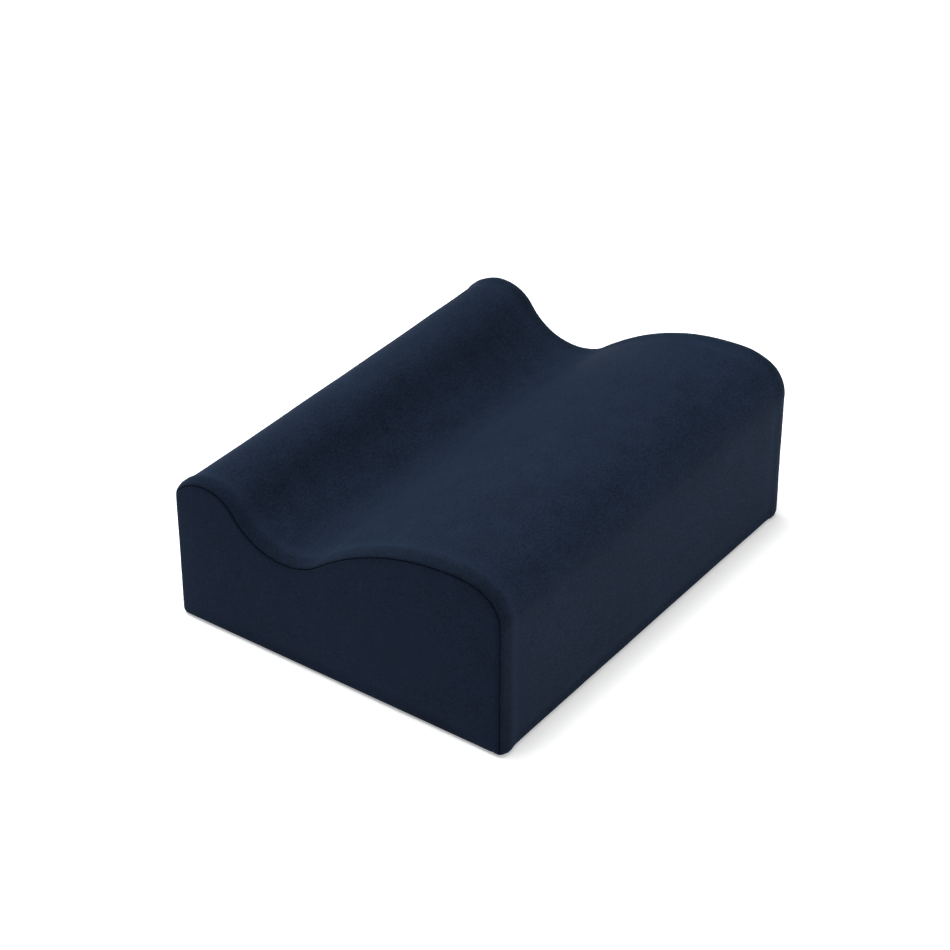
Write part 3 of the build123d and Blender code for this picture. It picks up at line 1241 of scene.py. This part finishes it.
    def base_seam_path(self) -> Path:
        """Returns the points and outward directions of the seam under the front edge."""
        rings = self.rings
        loop = rings.loops[rings.seam_ring(-1) + 8]
        step = min(range(rings.count), key=lambda i: abs(loop[i].y - self.seam_y) + abs(loop[i].z) * 10)
        inner = range(rings.seam_ring(-1), rings.seam_ring(1) + 1)
        vertices = [self.bag.data.vertices[ring * rings.count + step] for ring in inner]
        return [v.co.copy() for v in vertices], [Vector((0.0, 0.0, -1.0)) for _ in vertices]

    def wrap_width(self) -> float:
        """Returns the length of fabric from the base seam over the top to the zip's upper lip."""
        seams = self.seams
        points = self.outline.loop(0.0, self.SPACING)
        total = 0.0
        for (y1, z1), (y2, z2) in zip(points, points[1:] + points[:1]):
            y, z = (y1 + y2) / 2, (z1 + z2) / 2
            below = y > self.seam_y and z < seams.lip_high
            total += 0.0 if below else math.hypot(y2 - y1, z2 - z1)
        return total


# ---- sewing ------------------------------------------------------------------


@dataclass(frozen=True)
class StitchStyle:
    """The size of one row of stitches, in metres."""

    pitch: float = 3.2 * MM
    length: float = 2.5 * MM
    width: float = 0.5 * MM
    lift: float = 0.0
    slant: float = 0.0


class StitchRow:
    """A row of thread stitches, one stitch modelled once and copied along a path."""

    def __init__(self, name: str, style: StitchStyle) -> None:
        """Keeps the row's name and style."""
        self.name = name
        self.style = style

    def stitch(self) -> bpy.types.Object:
        """Models one stitch: a bit of thread, thinner at the ends, where it dives into the cloth."""
        bpy.ops.object.select_all(action="DESELECT")
        bpy.ops.mesh.primitive_uv_sphere_add(
            segments=6, ring_count=6, radius=0.5, rotation=(0, math.pi / 2, 0)
        )
        piece = bpy.context.object
        settle_place(piece)
        bpy.ops.object.mode_set(mode="EDIT")
        bpy.ops.mesh.select_all(action="SELECT")
        size = (self.style.length, self.style.width, self.style.width)
        bpy.ops.transform.resize(value=size)
        bpy.ops.object.mode_set(mode="OBJECT")
        smooth(piece)
        return piece

    def along(self, points: list[Vector], outward: list[Vector], closed: bool) -> bpy.types.Object:
        """Copies the stitch along a path.

        Args:
            points: The path.
            outward: The surface's direction at each point.
            closed: Whether the path's end joins its start.

        Returns:
            All the stitches as one piece.
        """
        places = points + points[:1] if closed else points
        facings = outward + outward[:1] if closed else outward
        lengths = [0.0]
        for a, b in zip(places, places[1:]):
            lengths.append(lengths[-1] + (b - a).length)
        count = max(1, round(lengths[-1] / self.style.pitch))
        pattern = self.stitch()
        row = bmesh.new()
        segment = 0
        for number in range(count):
            reach = lengths[-1] * (number + 0.5) / count
            while lengths[segment + 1] < reach:
                segment += 1
            share = (reach - lengths[segment]) / (lengths[segment + 1] - lengths[segment])
            along = (places[segment + 1] - places[segment]).normalized()
            up = facings[segment].lerp(facings[segment + 1], share)
            up = (up - along * up.dot(along)).normalized()
            centre = places[segment].lerp(places[segment + 1], share) + up * self.style.lift
            turned = Matrix.Rotation(self.style.slant, 3, up) @ along
            basis = Matrix((turned, up.cross(turned), up)).transposed().to_4x4()
            before = len(row.verts)
            row.from_mesh(pattern.data)
            row.verts.ensure_lookup_table()
            bmesh.ops.transform(row, matrix=Matrix.Translation(centre) @ basis, verts=row.verts[before:])
        mesh = bpy.data.meshes.new(self.name)
        row.to_mesh(mesh)
        row.free()
        bpy.data.objects.remove(pattern)
        piece = bpy.data.objects.new(self.name, mesh)
        bpy.context.scene.collection.objects.link(piece)
        smooth(piece)
        return piece


# ---- inside: liner and foam --------------------------------------------------


class InnerLayer:
    """One closed layer inside the cover, pressed in behind the zip."""

    SPACING = 7 * MM
    BED_DEPTH = 0.9 * MM
    TRACK_DEPTH = 2.4 * MM
    BED_REACH = 19 * MM
    BED_EDGE = 2 * MM
    TRACK_REACH = 8 * MM
    TRACK_FLAT = 5 * MM
    BACK_BAND = 2 * MM
    SEAM_PULL = 2.3 * MM
    SEAM_REACH = 6 * MM

    def __init__(self, cover: Cover, inset: float, rounding: float, length: float) -> None:
        """Lays the layer out.

        Args:
            cover: The cover that it fills.
            inset: How far inside the block its surface lies.
            rounding: The radius of its end edges.
            length: The whole block's length.
        """
        seams = cover.seams
        reaches = (self.BED_REACH, self.BED_REACH - self.BED_EDGE, self.TRACK_REACH, self.TRACK_FLAT, 0.0)
        marks = tuple(seams.zip_height + side * reach for reach in reaches for side in (-1, 1))
        self.zip_height = seams.zip_height
        self.outline = Outline(cover.outline.depth, back_marks=marks)
        self.back = self.outline.depth / 2 - inset
        self.inset = inset
        self.rings = Rings(self.outline, length, inset, rounding, rounding, self.SPACING)

    def build(self, name: str) -> bpy.types.Object:
        """Makes the layer's outer surface, drawn in at its end seams, with the zip pressed into it."""
        piece = self.rings.build(name)
        normals = [vertex.normal.copy() for vertex in piece.data.vertices]
        for vertex, normal in zip(piece.data.vertices, normals):
            station = self.rings.stations[vertex.index // self.rings.count]
            pull = self.SEAM_PULL * math.exp(-abs(station.from_seam) / self.SEAM_REACH)
            vertex.co -= normal * pull
            if vertex.co.y < self.back - self.BACK_BAND:
                continue
            away = abs(vertex.co.z - self.zip_height)
            bed = 1.0 - min(1.0, max(0.0, (away - self.BED_REACH + self.BED_EDGE) / self.BED_EDGE))
            slope = self.TRACK_REACH - self.TRACK_FLAT
            track = 1.0 - min(1.0, max(0.0, (away - self.TRACK_FLAT) / slope))
            vertex.co.y -= bed * self.BED_DEPTH + track * (self.TRACK_DEPTH - self.BED_DEPTH)
        piece.data.update()
        return piece


class Liner:
    """The white knitted inner bag: a sleeve, two ends and their overlocked seams."""

    INSET = 1.8 * MM
    THICKNESS = 0.8 * MM
    KNIT_CREASE = math.radians(50)

    def __init__(self, cover: Cover, rounding: float) -> None:
        """Lays the liner out inside the cover."""
        self.layer = InnerLayer(cover, self.INSET, rounding - self.INSET, cover.length)

    def build(self) -> tuple[bpy.types.Object, dict[str, bpy.types.Object]]:
        """Makes the sleeve and the two ends.

        Returns:
            The sleeve, and the ends by side.
        """
        bag = self.layer.build("liner_bag")
        rings = self.layer.rings
        limits = rings.seam_ring(-1), rings.seam_ring(1)
        groups: dict[str, list[tuple[int, ...]]] = {"sleeve": [], "left": [], "right": []}
        for face in bag.data.polygons:
            order = [index // rings.count for index in face.vertices]
            side = "left" if max(order) <= limits[0] else "right" if min(order) >= limits[1] else "sleeve"
            groups[side].append(tuple(face.vertices))
        pieces = {
            side: cut_out(f"liner_{side}_knit", bag.data, faces, self.THICKNESS, self.KNIT_CREASE)
            for side, faces in groups.items()
        }
        self.paths = {word: rings.seam_path(bag.data, side) for word, side in (("left", -1), ("right", 1))}
        bpy.data.objects.remove(bag)
        return pieces.pop("sleeve"), pieces


# ---- zip ---------------------------------------------------------------------


class ZipChain:
    """The nylon coils and woven tapes in the back wall."""

    PITCH = 1.3 * MM
    WIRE = 0.40 * MM
    REACH_OVER = 0.25 * MM
    GUARD_WIDTH = 10.5 * MM
    GUARD_THICKNESS = 0.25 * MM
    GUARD_DEPTH = 2.4 * MM
    LEAN = math.radians(14)
    TAPE_SLACK = 0.1 * MM
    STRIP_DIVISIONS = (140, 8)
    STRIP_RIPPLE = (0.03 * MM, 9 * MM, 2.2)
    STRIP_EDGE = 0.1 * MM

    def coil(self, node: str, side: int) -> bpy.types.Object:
        """Models one coil: a loop of monofilament, copied at the zip's pitch.

        Args:
            node: The CAD node that the coil stands for.
            side: 1 for the upper coil, -1 for the lower.

        Returns:
            The coil.
        """
        low, high = corners(node)
        inner = low.z if side > 0 else high.z
        outer = high.z if side > 0 else low.z
        inner -= side * self.REACH_OVER
        height = abs(outer - inner)
        depth = high.y - low.y
        count = round((high.x - low.x) / self.PITCH) - 1
        start = low.x + self.PITCH * (0.5 if side > 0 else 1.0)
        middle = (low.y + high.y) / 2
        bpy.ops.object.select_all(action="DESELECT")
        bpy.ops.mesh.primitive_torus_add(
            major_segments=12,
            minor_segments=5,
            major_radius=0.5,
            minor_radius=0.5 * self.WIRE / (depth / 2),
            location=(start, middle, (inner + outer) / 2),
            rotation=(0, math.pi / 2, 0),
        )
        piece = bpy.context.object
        piece.name = f"coil_{'upper' if side > 0 else 'lower'}_nylon"
        wire_share = self.WIRE / (depth / 2)
        across = depth / (1 + wire_share)
        piece.scale = (height / (1 + wire_share), across, across)
        settle_place(piece)
        bpy.ops.object.mode_set(mode="EDIT")
        bpy.ops.mesh.select_all(action="SELECT")
        bpy.ops.transform.rotate(value=self.LEAN * side, orient_axis="Z", center_override=(start, middle, 0))
        bpy.ops.object.mode_set(mode="OBJECT")
        bake_modifier(
            piece,
            "ARRAY",
            count=count,
            use_relative_offset=False,
            use_constant_offset=True,
            constant_offset_displace=(self.PITCH, 0.0, 0.0),
        )
        smooth(piece)
        return piece

    def tape(self, node: str) -> bpy.types.Object:
        """Models one woven tape where its CAD node lies."""
        low, high = corners(node)
        thickness = high.y - low.y - self.TAPE_SLACK
        return self.strip(f"{node}_weave", (low + high) / 2, high.x - low.x, high.z - low.z, thickness)

    def guard(self) -> bpy.types.Object:
        """Models the strip of tape cloth behind the chain, which keeps the slider off the liner."""
        low, high = corners("zip_coil_upper")
        middle = Vector(((low.x + high.x) / 2, low.y - self.GUARD_DEPTH, Seams().zip_height))
        length = high.x - low.x + self.GUARD_WIDTH
        return self.strip("zip_guard_weave", middle, length, self.GUARD_WIDTH, self.GUARD_THICKNESS)

    def strip(
        self, name: str, middle: Vector, length: float, width: float, thickness: float
    ) -> bpy.types.Object:
        """Models a thin woven strip along X, slightly uneven.

        Args:
            name: The piece's name.
            middle: Its middle.
            length: Its length along X.
            width: Its width along Z.
            thickness: Its thickness along Y.

        Returns:
            The strip.
        """
        piece = back_grid(name, middle, (length, width), self.STRIP_DIVISIONS)
        height, size, seed = self.STRIP_RIPPLE
        for vertex in piece.data.vertices:
            vertex.co.y += height * Ripple.at(vertex.co, size, seed)
        bake_modifier(piece, "SOLIDIFY", thickness=thickness, offset=0.0)
        bake_modifier(piece, "BEVEL", width=self.STRIP_EDGE, segments=1)
        smooth(piece, math.radians(40))
        return piece


class CastPiece:
    """Small cast or pressed zip hardware: the CAD shape with its edges softened."""

    SHARP = math.radians(35)
    FLAT = math.radians(2)
    JOIN_WITHIN = 0.002 * MM

    def __init__(self, node: bpy.types.Object, edge: float) -> None:
        """Keeps the CAD node and the radius of its softened edges."""
        self.node = node
        self.edge = edge

    def build(self, name: str) -> bpy.types.Object:
        """Copies the node's shape, joins its triangles and rounds its edges.

        Args:
            name: The new piece's name.

        Returns:
            The piece.
        """
        piece = self.node.copy()
        piece.data = self.node.data.copy()
        piece.name = name
        piece.parent = None
        piece.hide_render = False
        piece.hide_viewport = False
        bpy.context.scene.collection.objects.link(piece)
        pick(piece)
        bpy.ops.object.mode_set(mode="EDIT")
        bpy.ops.mesh.select_all(action="SELECT")
        bpy.ops.mesh.remove_doubles(threshold=self.JOIN_WITHIN)
        bpy.ops.mesh.dissolve_limited(angle_limit=self.FLAT)
        bpy.ops.object.mode_set(mode="OBJECT")
        bake_modifier(
            piece, "BEVEL", width=self.edge, segments=3, limit_method="ANGLE", angle_limit=self.SHARP
        )
        bake_modifier(piece, "TRIANGULATE")
        smooth(piece, self.SHARP)
        return piece


# ---- label -------------------------------------------------------------------


class CareLabel:
    """A blank satin label sewn to the back wall along its top edge, its lower end free."""

    THICKNESS = 0.25 * MM
    REST_GAP = 0.12 * MM
    CURL = 0.9 * MM
    FOLD = 5 * MM
    FOLD_RISE = 0.2 * MM
    WAVE = (0.2 * MM, 14 * MM, 5.5)
    DIVISIONS = (16, 26)
    SEWING_MARGIN = 1.2 * MM
    SEWING_STEPS = 6

    def __init__(self, cover: Cover) -> None:
        """Keeps the cover that the label is sewn to."""
        self.cover = cover

    def build(self) -> bpy.types.Object:
        """Models the ribbon with a folded top and a slight curl."""
        low, high = corners("care_label")
        middle = (low + high) / 2
        size = (high.x - low.x, high.z - low.z)
        piece = back_grid("care_label_ribbon", middle, size, self.DIVISIONS)
        wave_height, wave_size, seed = self.WAVE
        for vertex in piece.data.vertices:
            drop = (high.z - vertex.co.z) / (high.z - low.z)
            across = (vertex.co.x - middle.x) / (high.x - low.x)
            curl = self.CURL * drop**3 * (0.7 + 1.2 * across * across)
            wave = wave_height * (1 + Ripple.at(vertex.co, wave_size, seed)) * drop
            fold = self.FOLD_RISE if high.z - vertex.co.z < self.FOLD else 0.0
            skin = self.cover.back_skin(vertex.co.x, vertex.co.z)
            vertex.co.y = skin + self.REST_GAP + curl + wave + fold
        piece.data.update()
        bake_modifier(piece, "SOLIDIFY", thickness=self.THICKNESS, offset=1.0)
        bake_modifier(piece, "SUBSURF", levels=1, render_levels=1)
        smooth(piece, CREASE)
        return piece

    def sewing_line(self) -> Path:
        """Returns the path of the stitches across the label's fold."""
        low, high = corners("care_label")
        height = high.z - self.FOLD / 2
        start = low.x + self.SEWING_MARGIN
        span = high.x - low.x - 2 * self.SEWING_MARGIN
        places = [(start + span * step / self.SEWING_STEPS, height) for step in range(self.SEWING_STEPS + 1)]
        return self.cover.back_path(places, self.REST_GAP + self.FOLD_RISE + self.THICKNESS)


# ---- studio ------------------------------------------------------------------


@dataclass(frozen=True)
class SoftLight:
    """One soft box, aimed at the pillow."""

    name: str
    place: tuple[float, float, float]
    energy: float
    colour: Colour = (1.0, 1.0, 1.0)
    size: float = 1.4

    def hang(self, aim: Vector) -> None:
        """Adds the light, facing aim."""
        data = bpy.data.lights.new(self.name, "AREA")
        data.shape = "SQUARE"
        data.size = self.size
        data.energy = self.energy
        data.color = self.colour
        lamp = bpy.data.objects.new(self.name, data)
        lamp.location = self.place
        lamp.rotation_euler = (aim - Vector(self.place)).to_track_quat("-Z", "Y").to_euler()
        bpy.context.scene.collection.objects.link(lamp)


@dataclass(frozen=True)
class Studio:
    """A pale floor, soft boxes and the camera."""

    lens: float = 103.6
    sensor: float = 36.0
    azimuth: float = math.radians(-54.1)
    elevation: float = math.radians(33.5)
    distance: float = 2.04
    aim: tuple[float, float, float] = (0.002, 0.0135, 0.0725)
    floor_size: float = 60.0
    sky: float = 0.02
    lights: tuple[SoftLight, ...] = (
        SoftLight("top", (-0.2, 0.25, 2.6), 73.0),
        SoftLight("behind", (0.0, 2.2, 1.5), 30.0, (0.72, 0.93, 1.0)),
        SoftLight("behind_right", (1.2, 1.8, 1.5), 7.0),
        SoftLight("front_right", (1.6, -1.6, 1.5), 1.6),
        SoftLight("front", (-0.3, -2.2, 1.5), 12.8, (0.94, 0.94, 0.92)),
    )

    def floor(self) -> None:
        """Adds the floor."""
        bpy.ops.object.select_all(action="DESELECT")
        bpy.ops.mesh.primitive_plane_add(size=self.floor_size)
        plane = bpy.context.object
        plane.name = "floor"
        plane.data.materials.append(PaleFloor().make())

    def camera(self) -> None:
        """Adds the camera."""
        data = bpy.data.cameras.new("camera")
        data.lens = self.lens
        data.sensor_width = self.sensor
        camera = bpy.data.objects.new("camera", data)
        flat = math.cos(self.elevation)
        back = Vector((
            math.sin(self.azimuth) * flat, -math.cos(self.azimuth) * flat, math.sin(self.elevation)
        ))
        camera.location = Vector(self.aim) + back * self.distance
        camera.rotation_euler = back.to_track_quat("Z", "Y").to_euler()
        bpy.context.scene.collection.objects.link(camera)
        bpy.context.scene.camera = camera

    def set_up(self) -> None:
        """Builds the whole studio."""
        scene = bpy.context.scene
        scene.view_settings.view_transform = "Standard"
        world = bpy.data.worlds.new("studio_sky")
        world.use_nodes = True
        background = world.node_tree.nodes["Background"]
        background.inputs["Color"].default_value = (1.0, 1.0, 1.0, 1.0)
        background.inputs["Strength"].default_value = self.sky
        scene.world = world
        self.floor()
        for light in self.lights:
            light.hang(Vector(self.aim))
        self.camera()


# ---- assembly ----------------------------------------------------------------


class Pillow:
    """Every visible and hidden piece of the pillow, dressed and placed on its body."""

    END_ROUNDING = 4.0 * MM
    FOAM_INSET = 3.1 * MM
    # painted shade: the end panels' velour colour is darkened against the rest of the cover
    END_COLOUR = (0.0052, 0.0096, 0.0216)
    SEAM_COLOUR = (0.0026, 0.0040, 0.0075)
    LINER_COLOUR = (0.70, 0.70, 0.66)
    SEAM_STITCH = StitchStyle(pitch=3.0 * MM, length=2.9 * MM, width=0.8 * MM, lift=0.9 * MM)
    BASE_STITCH = StitchStyle(lift=0.2 * MM)
    OVERLOCK = StitchStyle(pitch=2.6 * MM, length=2.0 * MM, width=0.4 * MM, slant=math.radians(55))
    TOPSTITCH_LIFT = 0.08 * MM
    TOPSTITCH_STEP = 4 * MM
    TACK_LIFT = 0.1 * MM
    TACK_STEP = 2 * MM
    TACK_PITCH = 0.5 * MM
    TACK_WIDTH = 0.45 * MM
    TACK_SLANT = math.radians(78)

    def __init__(self, frame: dict) -> None:
        """Keeps the frame and makes the finishes.
        """
        self.nodes = frame["nodes"]
        low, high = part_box("cover_wrap_panel")
        end_low, end_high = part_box("cover_end_panel_left")[0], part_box("cover_end_panel_right")[1]
        self.low = Vector((end_low[0], low[1], low[2]))
        self.high = Vector((end_high[0], high[1], high[2]))
        self.velour = NapFabric().make()
        # a darker copy of the velour for the end panels, as painted shade
        self.end_velour = NapFabric("navy_velour_ends_painted_shade", self.END_COLOUR).make()
        self.thread = SewingThread("seam_thread", self.SEAM_COLOUR).make()
        self.liner_thread = SewingThread("liner_thread", self.LINER_COLOUR).make()
        self.metal = LacqueredMetal().make()

    def make_cover(self) -> None:
        """Makes the four cover panels and the threads in their seams."""
        cover = Cover(self.low, self.high, self.END_ROUNDING)
        cover.settle()
        cover.sew()
        panels = cover.cut_panels()
        depth = cover.outline.depth
        for zone, node, velour in (
            (Zone.WRAP, "cover_wrap_panel", self.velour),
            (Zone.BASE, "cover_base_panel", self.velour),
            (Zone.LEFT, "cover_end_panel_left", self.end_velour),
            (Zone.RIGHT, "cover_end_panel_right", self.end_velour),
        ):
            dress(panels[zone], velour, "cover_fabric", PILLOW_BODY, node)
        cover.wrap_width()
        base_width = depth - cover.seams.base_setback + cover.seams.lip_low
        for zone, node in ((Zone.LEFT, "liner_end_left"), (Zone.RIGHT, "liner_end_right")):
            cover.outline.area()
        for side, word in ((-1, "left"), (1, "right")):
            path = cover.rings.seam_path(cover.bag.data, side)
            row = StitchRow(f"end_seam_stitches_{word}", self.SEAM_STITCH).along(*path, True)
            dress(row, self.thread, "cover_thread", PILLOW_BODY, f"end_seam_thread_{word}")
        row = StitchRow("base_seam_stitches", self.BASE_STITCH).along(*cover.base_seam_path(), False)
        dress(row, self.thread, "cover_thread", PILLOW_BODY, "base_seam_thread")
        bpy.data.objects.remove(cover.bag)
        self.cover = cover

    def make_inside(self) -> None:
        """Makes the liner and the foam."""
        knit = KnitMesh().make()
        liner = Liner(self.cover, self.END_ROUNDING)
        sleeve, ends = liner.build()
        dress(sleeve, knit, "liner_knit", PILLOW_BODY, "liner_sleeve")
        outline = liner.layer.outline
        loop = outline.loop(Liner.INSET, InnerLayer.SPACING)
        girth = sum(math.dist(a, b) for a, b in zip(loop, loop[1:] + loop[:1]))
        for word, piece in ends.items():
            dress(piece, knit, "liner_knit", PILLOW_BODY, f"liner_end_{word}")
            outline.area() * 0.96
            row = StitchRow(f"liner_overlock_{word}", self.OVERLOCK).along(*liner.paths[word], True)
            dress(row, self.liner_thread, "liner_thread", PILLOW_BODY, f"liner_seam_stitch_{word}")
        foam = InnerLayer(
            self.cover, self.FOAM_INSET, self.END_ROUNDING - self.FOAM_INSET, self.cover.length
        ).build("foam_block")
        smooth(foam, CREASE)
        dress(foam, FoamCells().make(), "foam", PILLOW_BODY, "foam_core")

    def make_zip(self) -> None:
        """Makes the zip's coils, tapes, hardware and sewing."""
        chain = ZipChain()
        nylon = NylonCoil().make()
        weave = ZipTapeWeave().make()
        for word, side in (("upper", 1), ("lower", -1)):
            dress(chain.coil(f"zip_coil_{word}", side), nylon, "zip_coil", PILLOW_BODY, f"zip_coil_{word}")
            tape_node = f"zip_tape_{word}"
            tape = chain.tape(tape_node)
            dress(tape, weave, "zip_tape", PILLOW_BODY, tape_node)
            self.sew_straight(f"zip_topstitch_{word}")
        for node, name, body, edge in (
            ("zip_slider", "slider_casting", SLIDER_BODY, 0.18 * MM),
            ("zip_pull", "pull_casting", PULL_BODY, 0.22 * MM),
            ("zip_top_stops", "top_stop_clips", PILLOW_BODY, 0.25 * MM),
            ("zip_bottom_stop", "bottom_stop_clip", PILLOW_BODY, 0.25 * MM),
        ):
            piece = CastPiece(self.nodes[node], edge).build(name)
            dress(piece, self.metal, "zip_metal", body, node)
        guard = chain.guard()
        dress(guard, weave, "zip_tape", PILLOW_BODY)
        self.sew_tacks()

    def sew_straight(self, node: str) -> None:
        """Sews one row of topstitches where a CAD thread lies."""
        low, high = corners(node)
        height = (low.z + high.z) / 2
        places = [(x, height) for x in even_steps(low.x, high.x, self.TOPSTITCH_STEP)]
        path = self.cover.back_path(places, self.TOPSTITCH_LIFT)
        row = StitchRow(f"{node}_thread", StitchStyle()).along(*path, False)
        dress(row, self.thread, "cover_thread", PILLOW_BODY, node)

    def sew_tacks(self) -> None:
        """Sews the dense bar tacks across both ends of the zip's mouth."""
        low, high = corners("zip_bar_tacks")
        width = (high.x - low.x - self.cover.seams.mouth_length) / 2
        style = StitchStyle(
            pitch=self.TACK_PITCH, length=width, width=self.TACK_WIDTH, slant=self.TACK_SLANT
        )
        tacks = []
        for x in (low.x + width / 2, high.x - width / 2):
            places = [(x, z) for z in even_steps(low.z, high.z, self.TACK_STEP)]
            path = self.cover.back_path(places, self.TACK_LIFT)
            tacks.append(StitchRow("bar_tacks", style).along(*path, False))
        pick(tacks[0])
        tacks[1].select_set(True)
        bpy.ops.object.join()
        dress(tacks[0], self.thread, "cover_thread", PILLOW_BODY, "zip_bar_tacks")

    def make_label(self) -> None:
        """Makes the blank label and its sewing."""
        label = CareLabel(self.cover)
        ribbon = label.build()
        dress(ribbon, LabelSatin().make(), "label_satin", PILLOW_BODY, "care_label")
        row = StitchRow("label_stitches", StitchStyle()).along(*label.sewing_line(), False)
        dress(row, self.liner_thread, "liner_thread", PILLOW_BODY)


def main() -> None:
    """Builds the studio and the pillow around the CAD frame."""
    logging.basicConfig(level=logging.INFO, format="%(name)s: %(message)s")
    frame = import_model()
    Studio().set_up()
    pillow = Pillow(frame)
    pillow.make_cover()
    pillow.make_inside()
    pillow.make_zip()
    pillow.make_label()


if __name__ == "__main__":
    main()
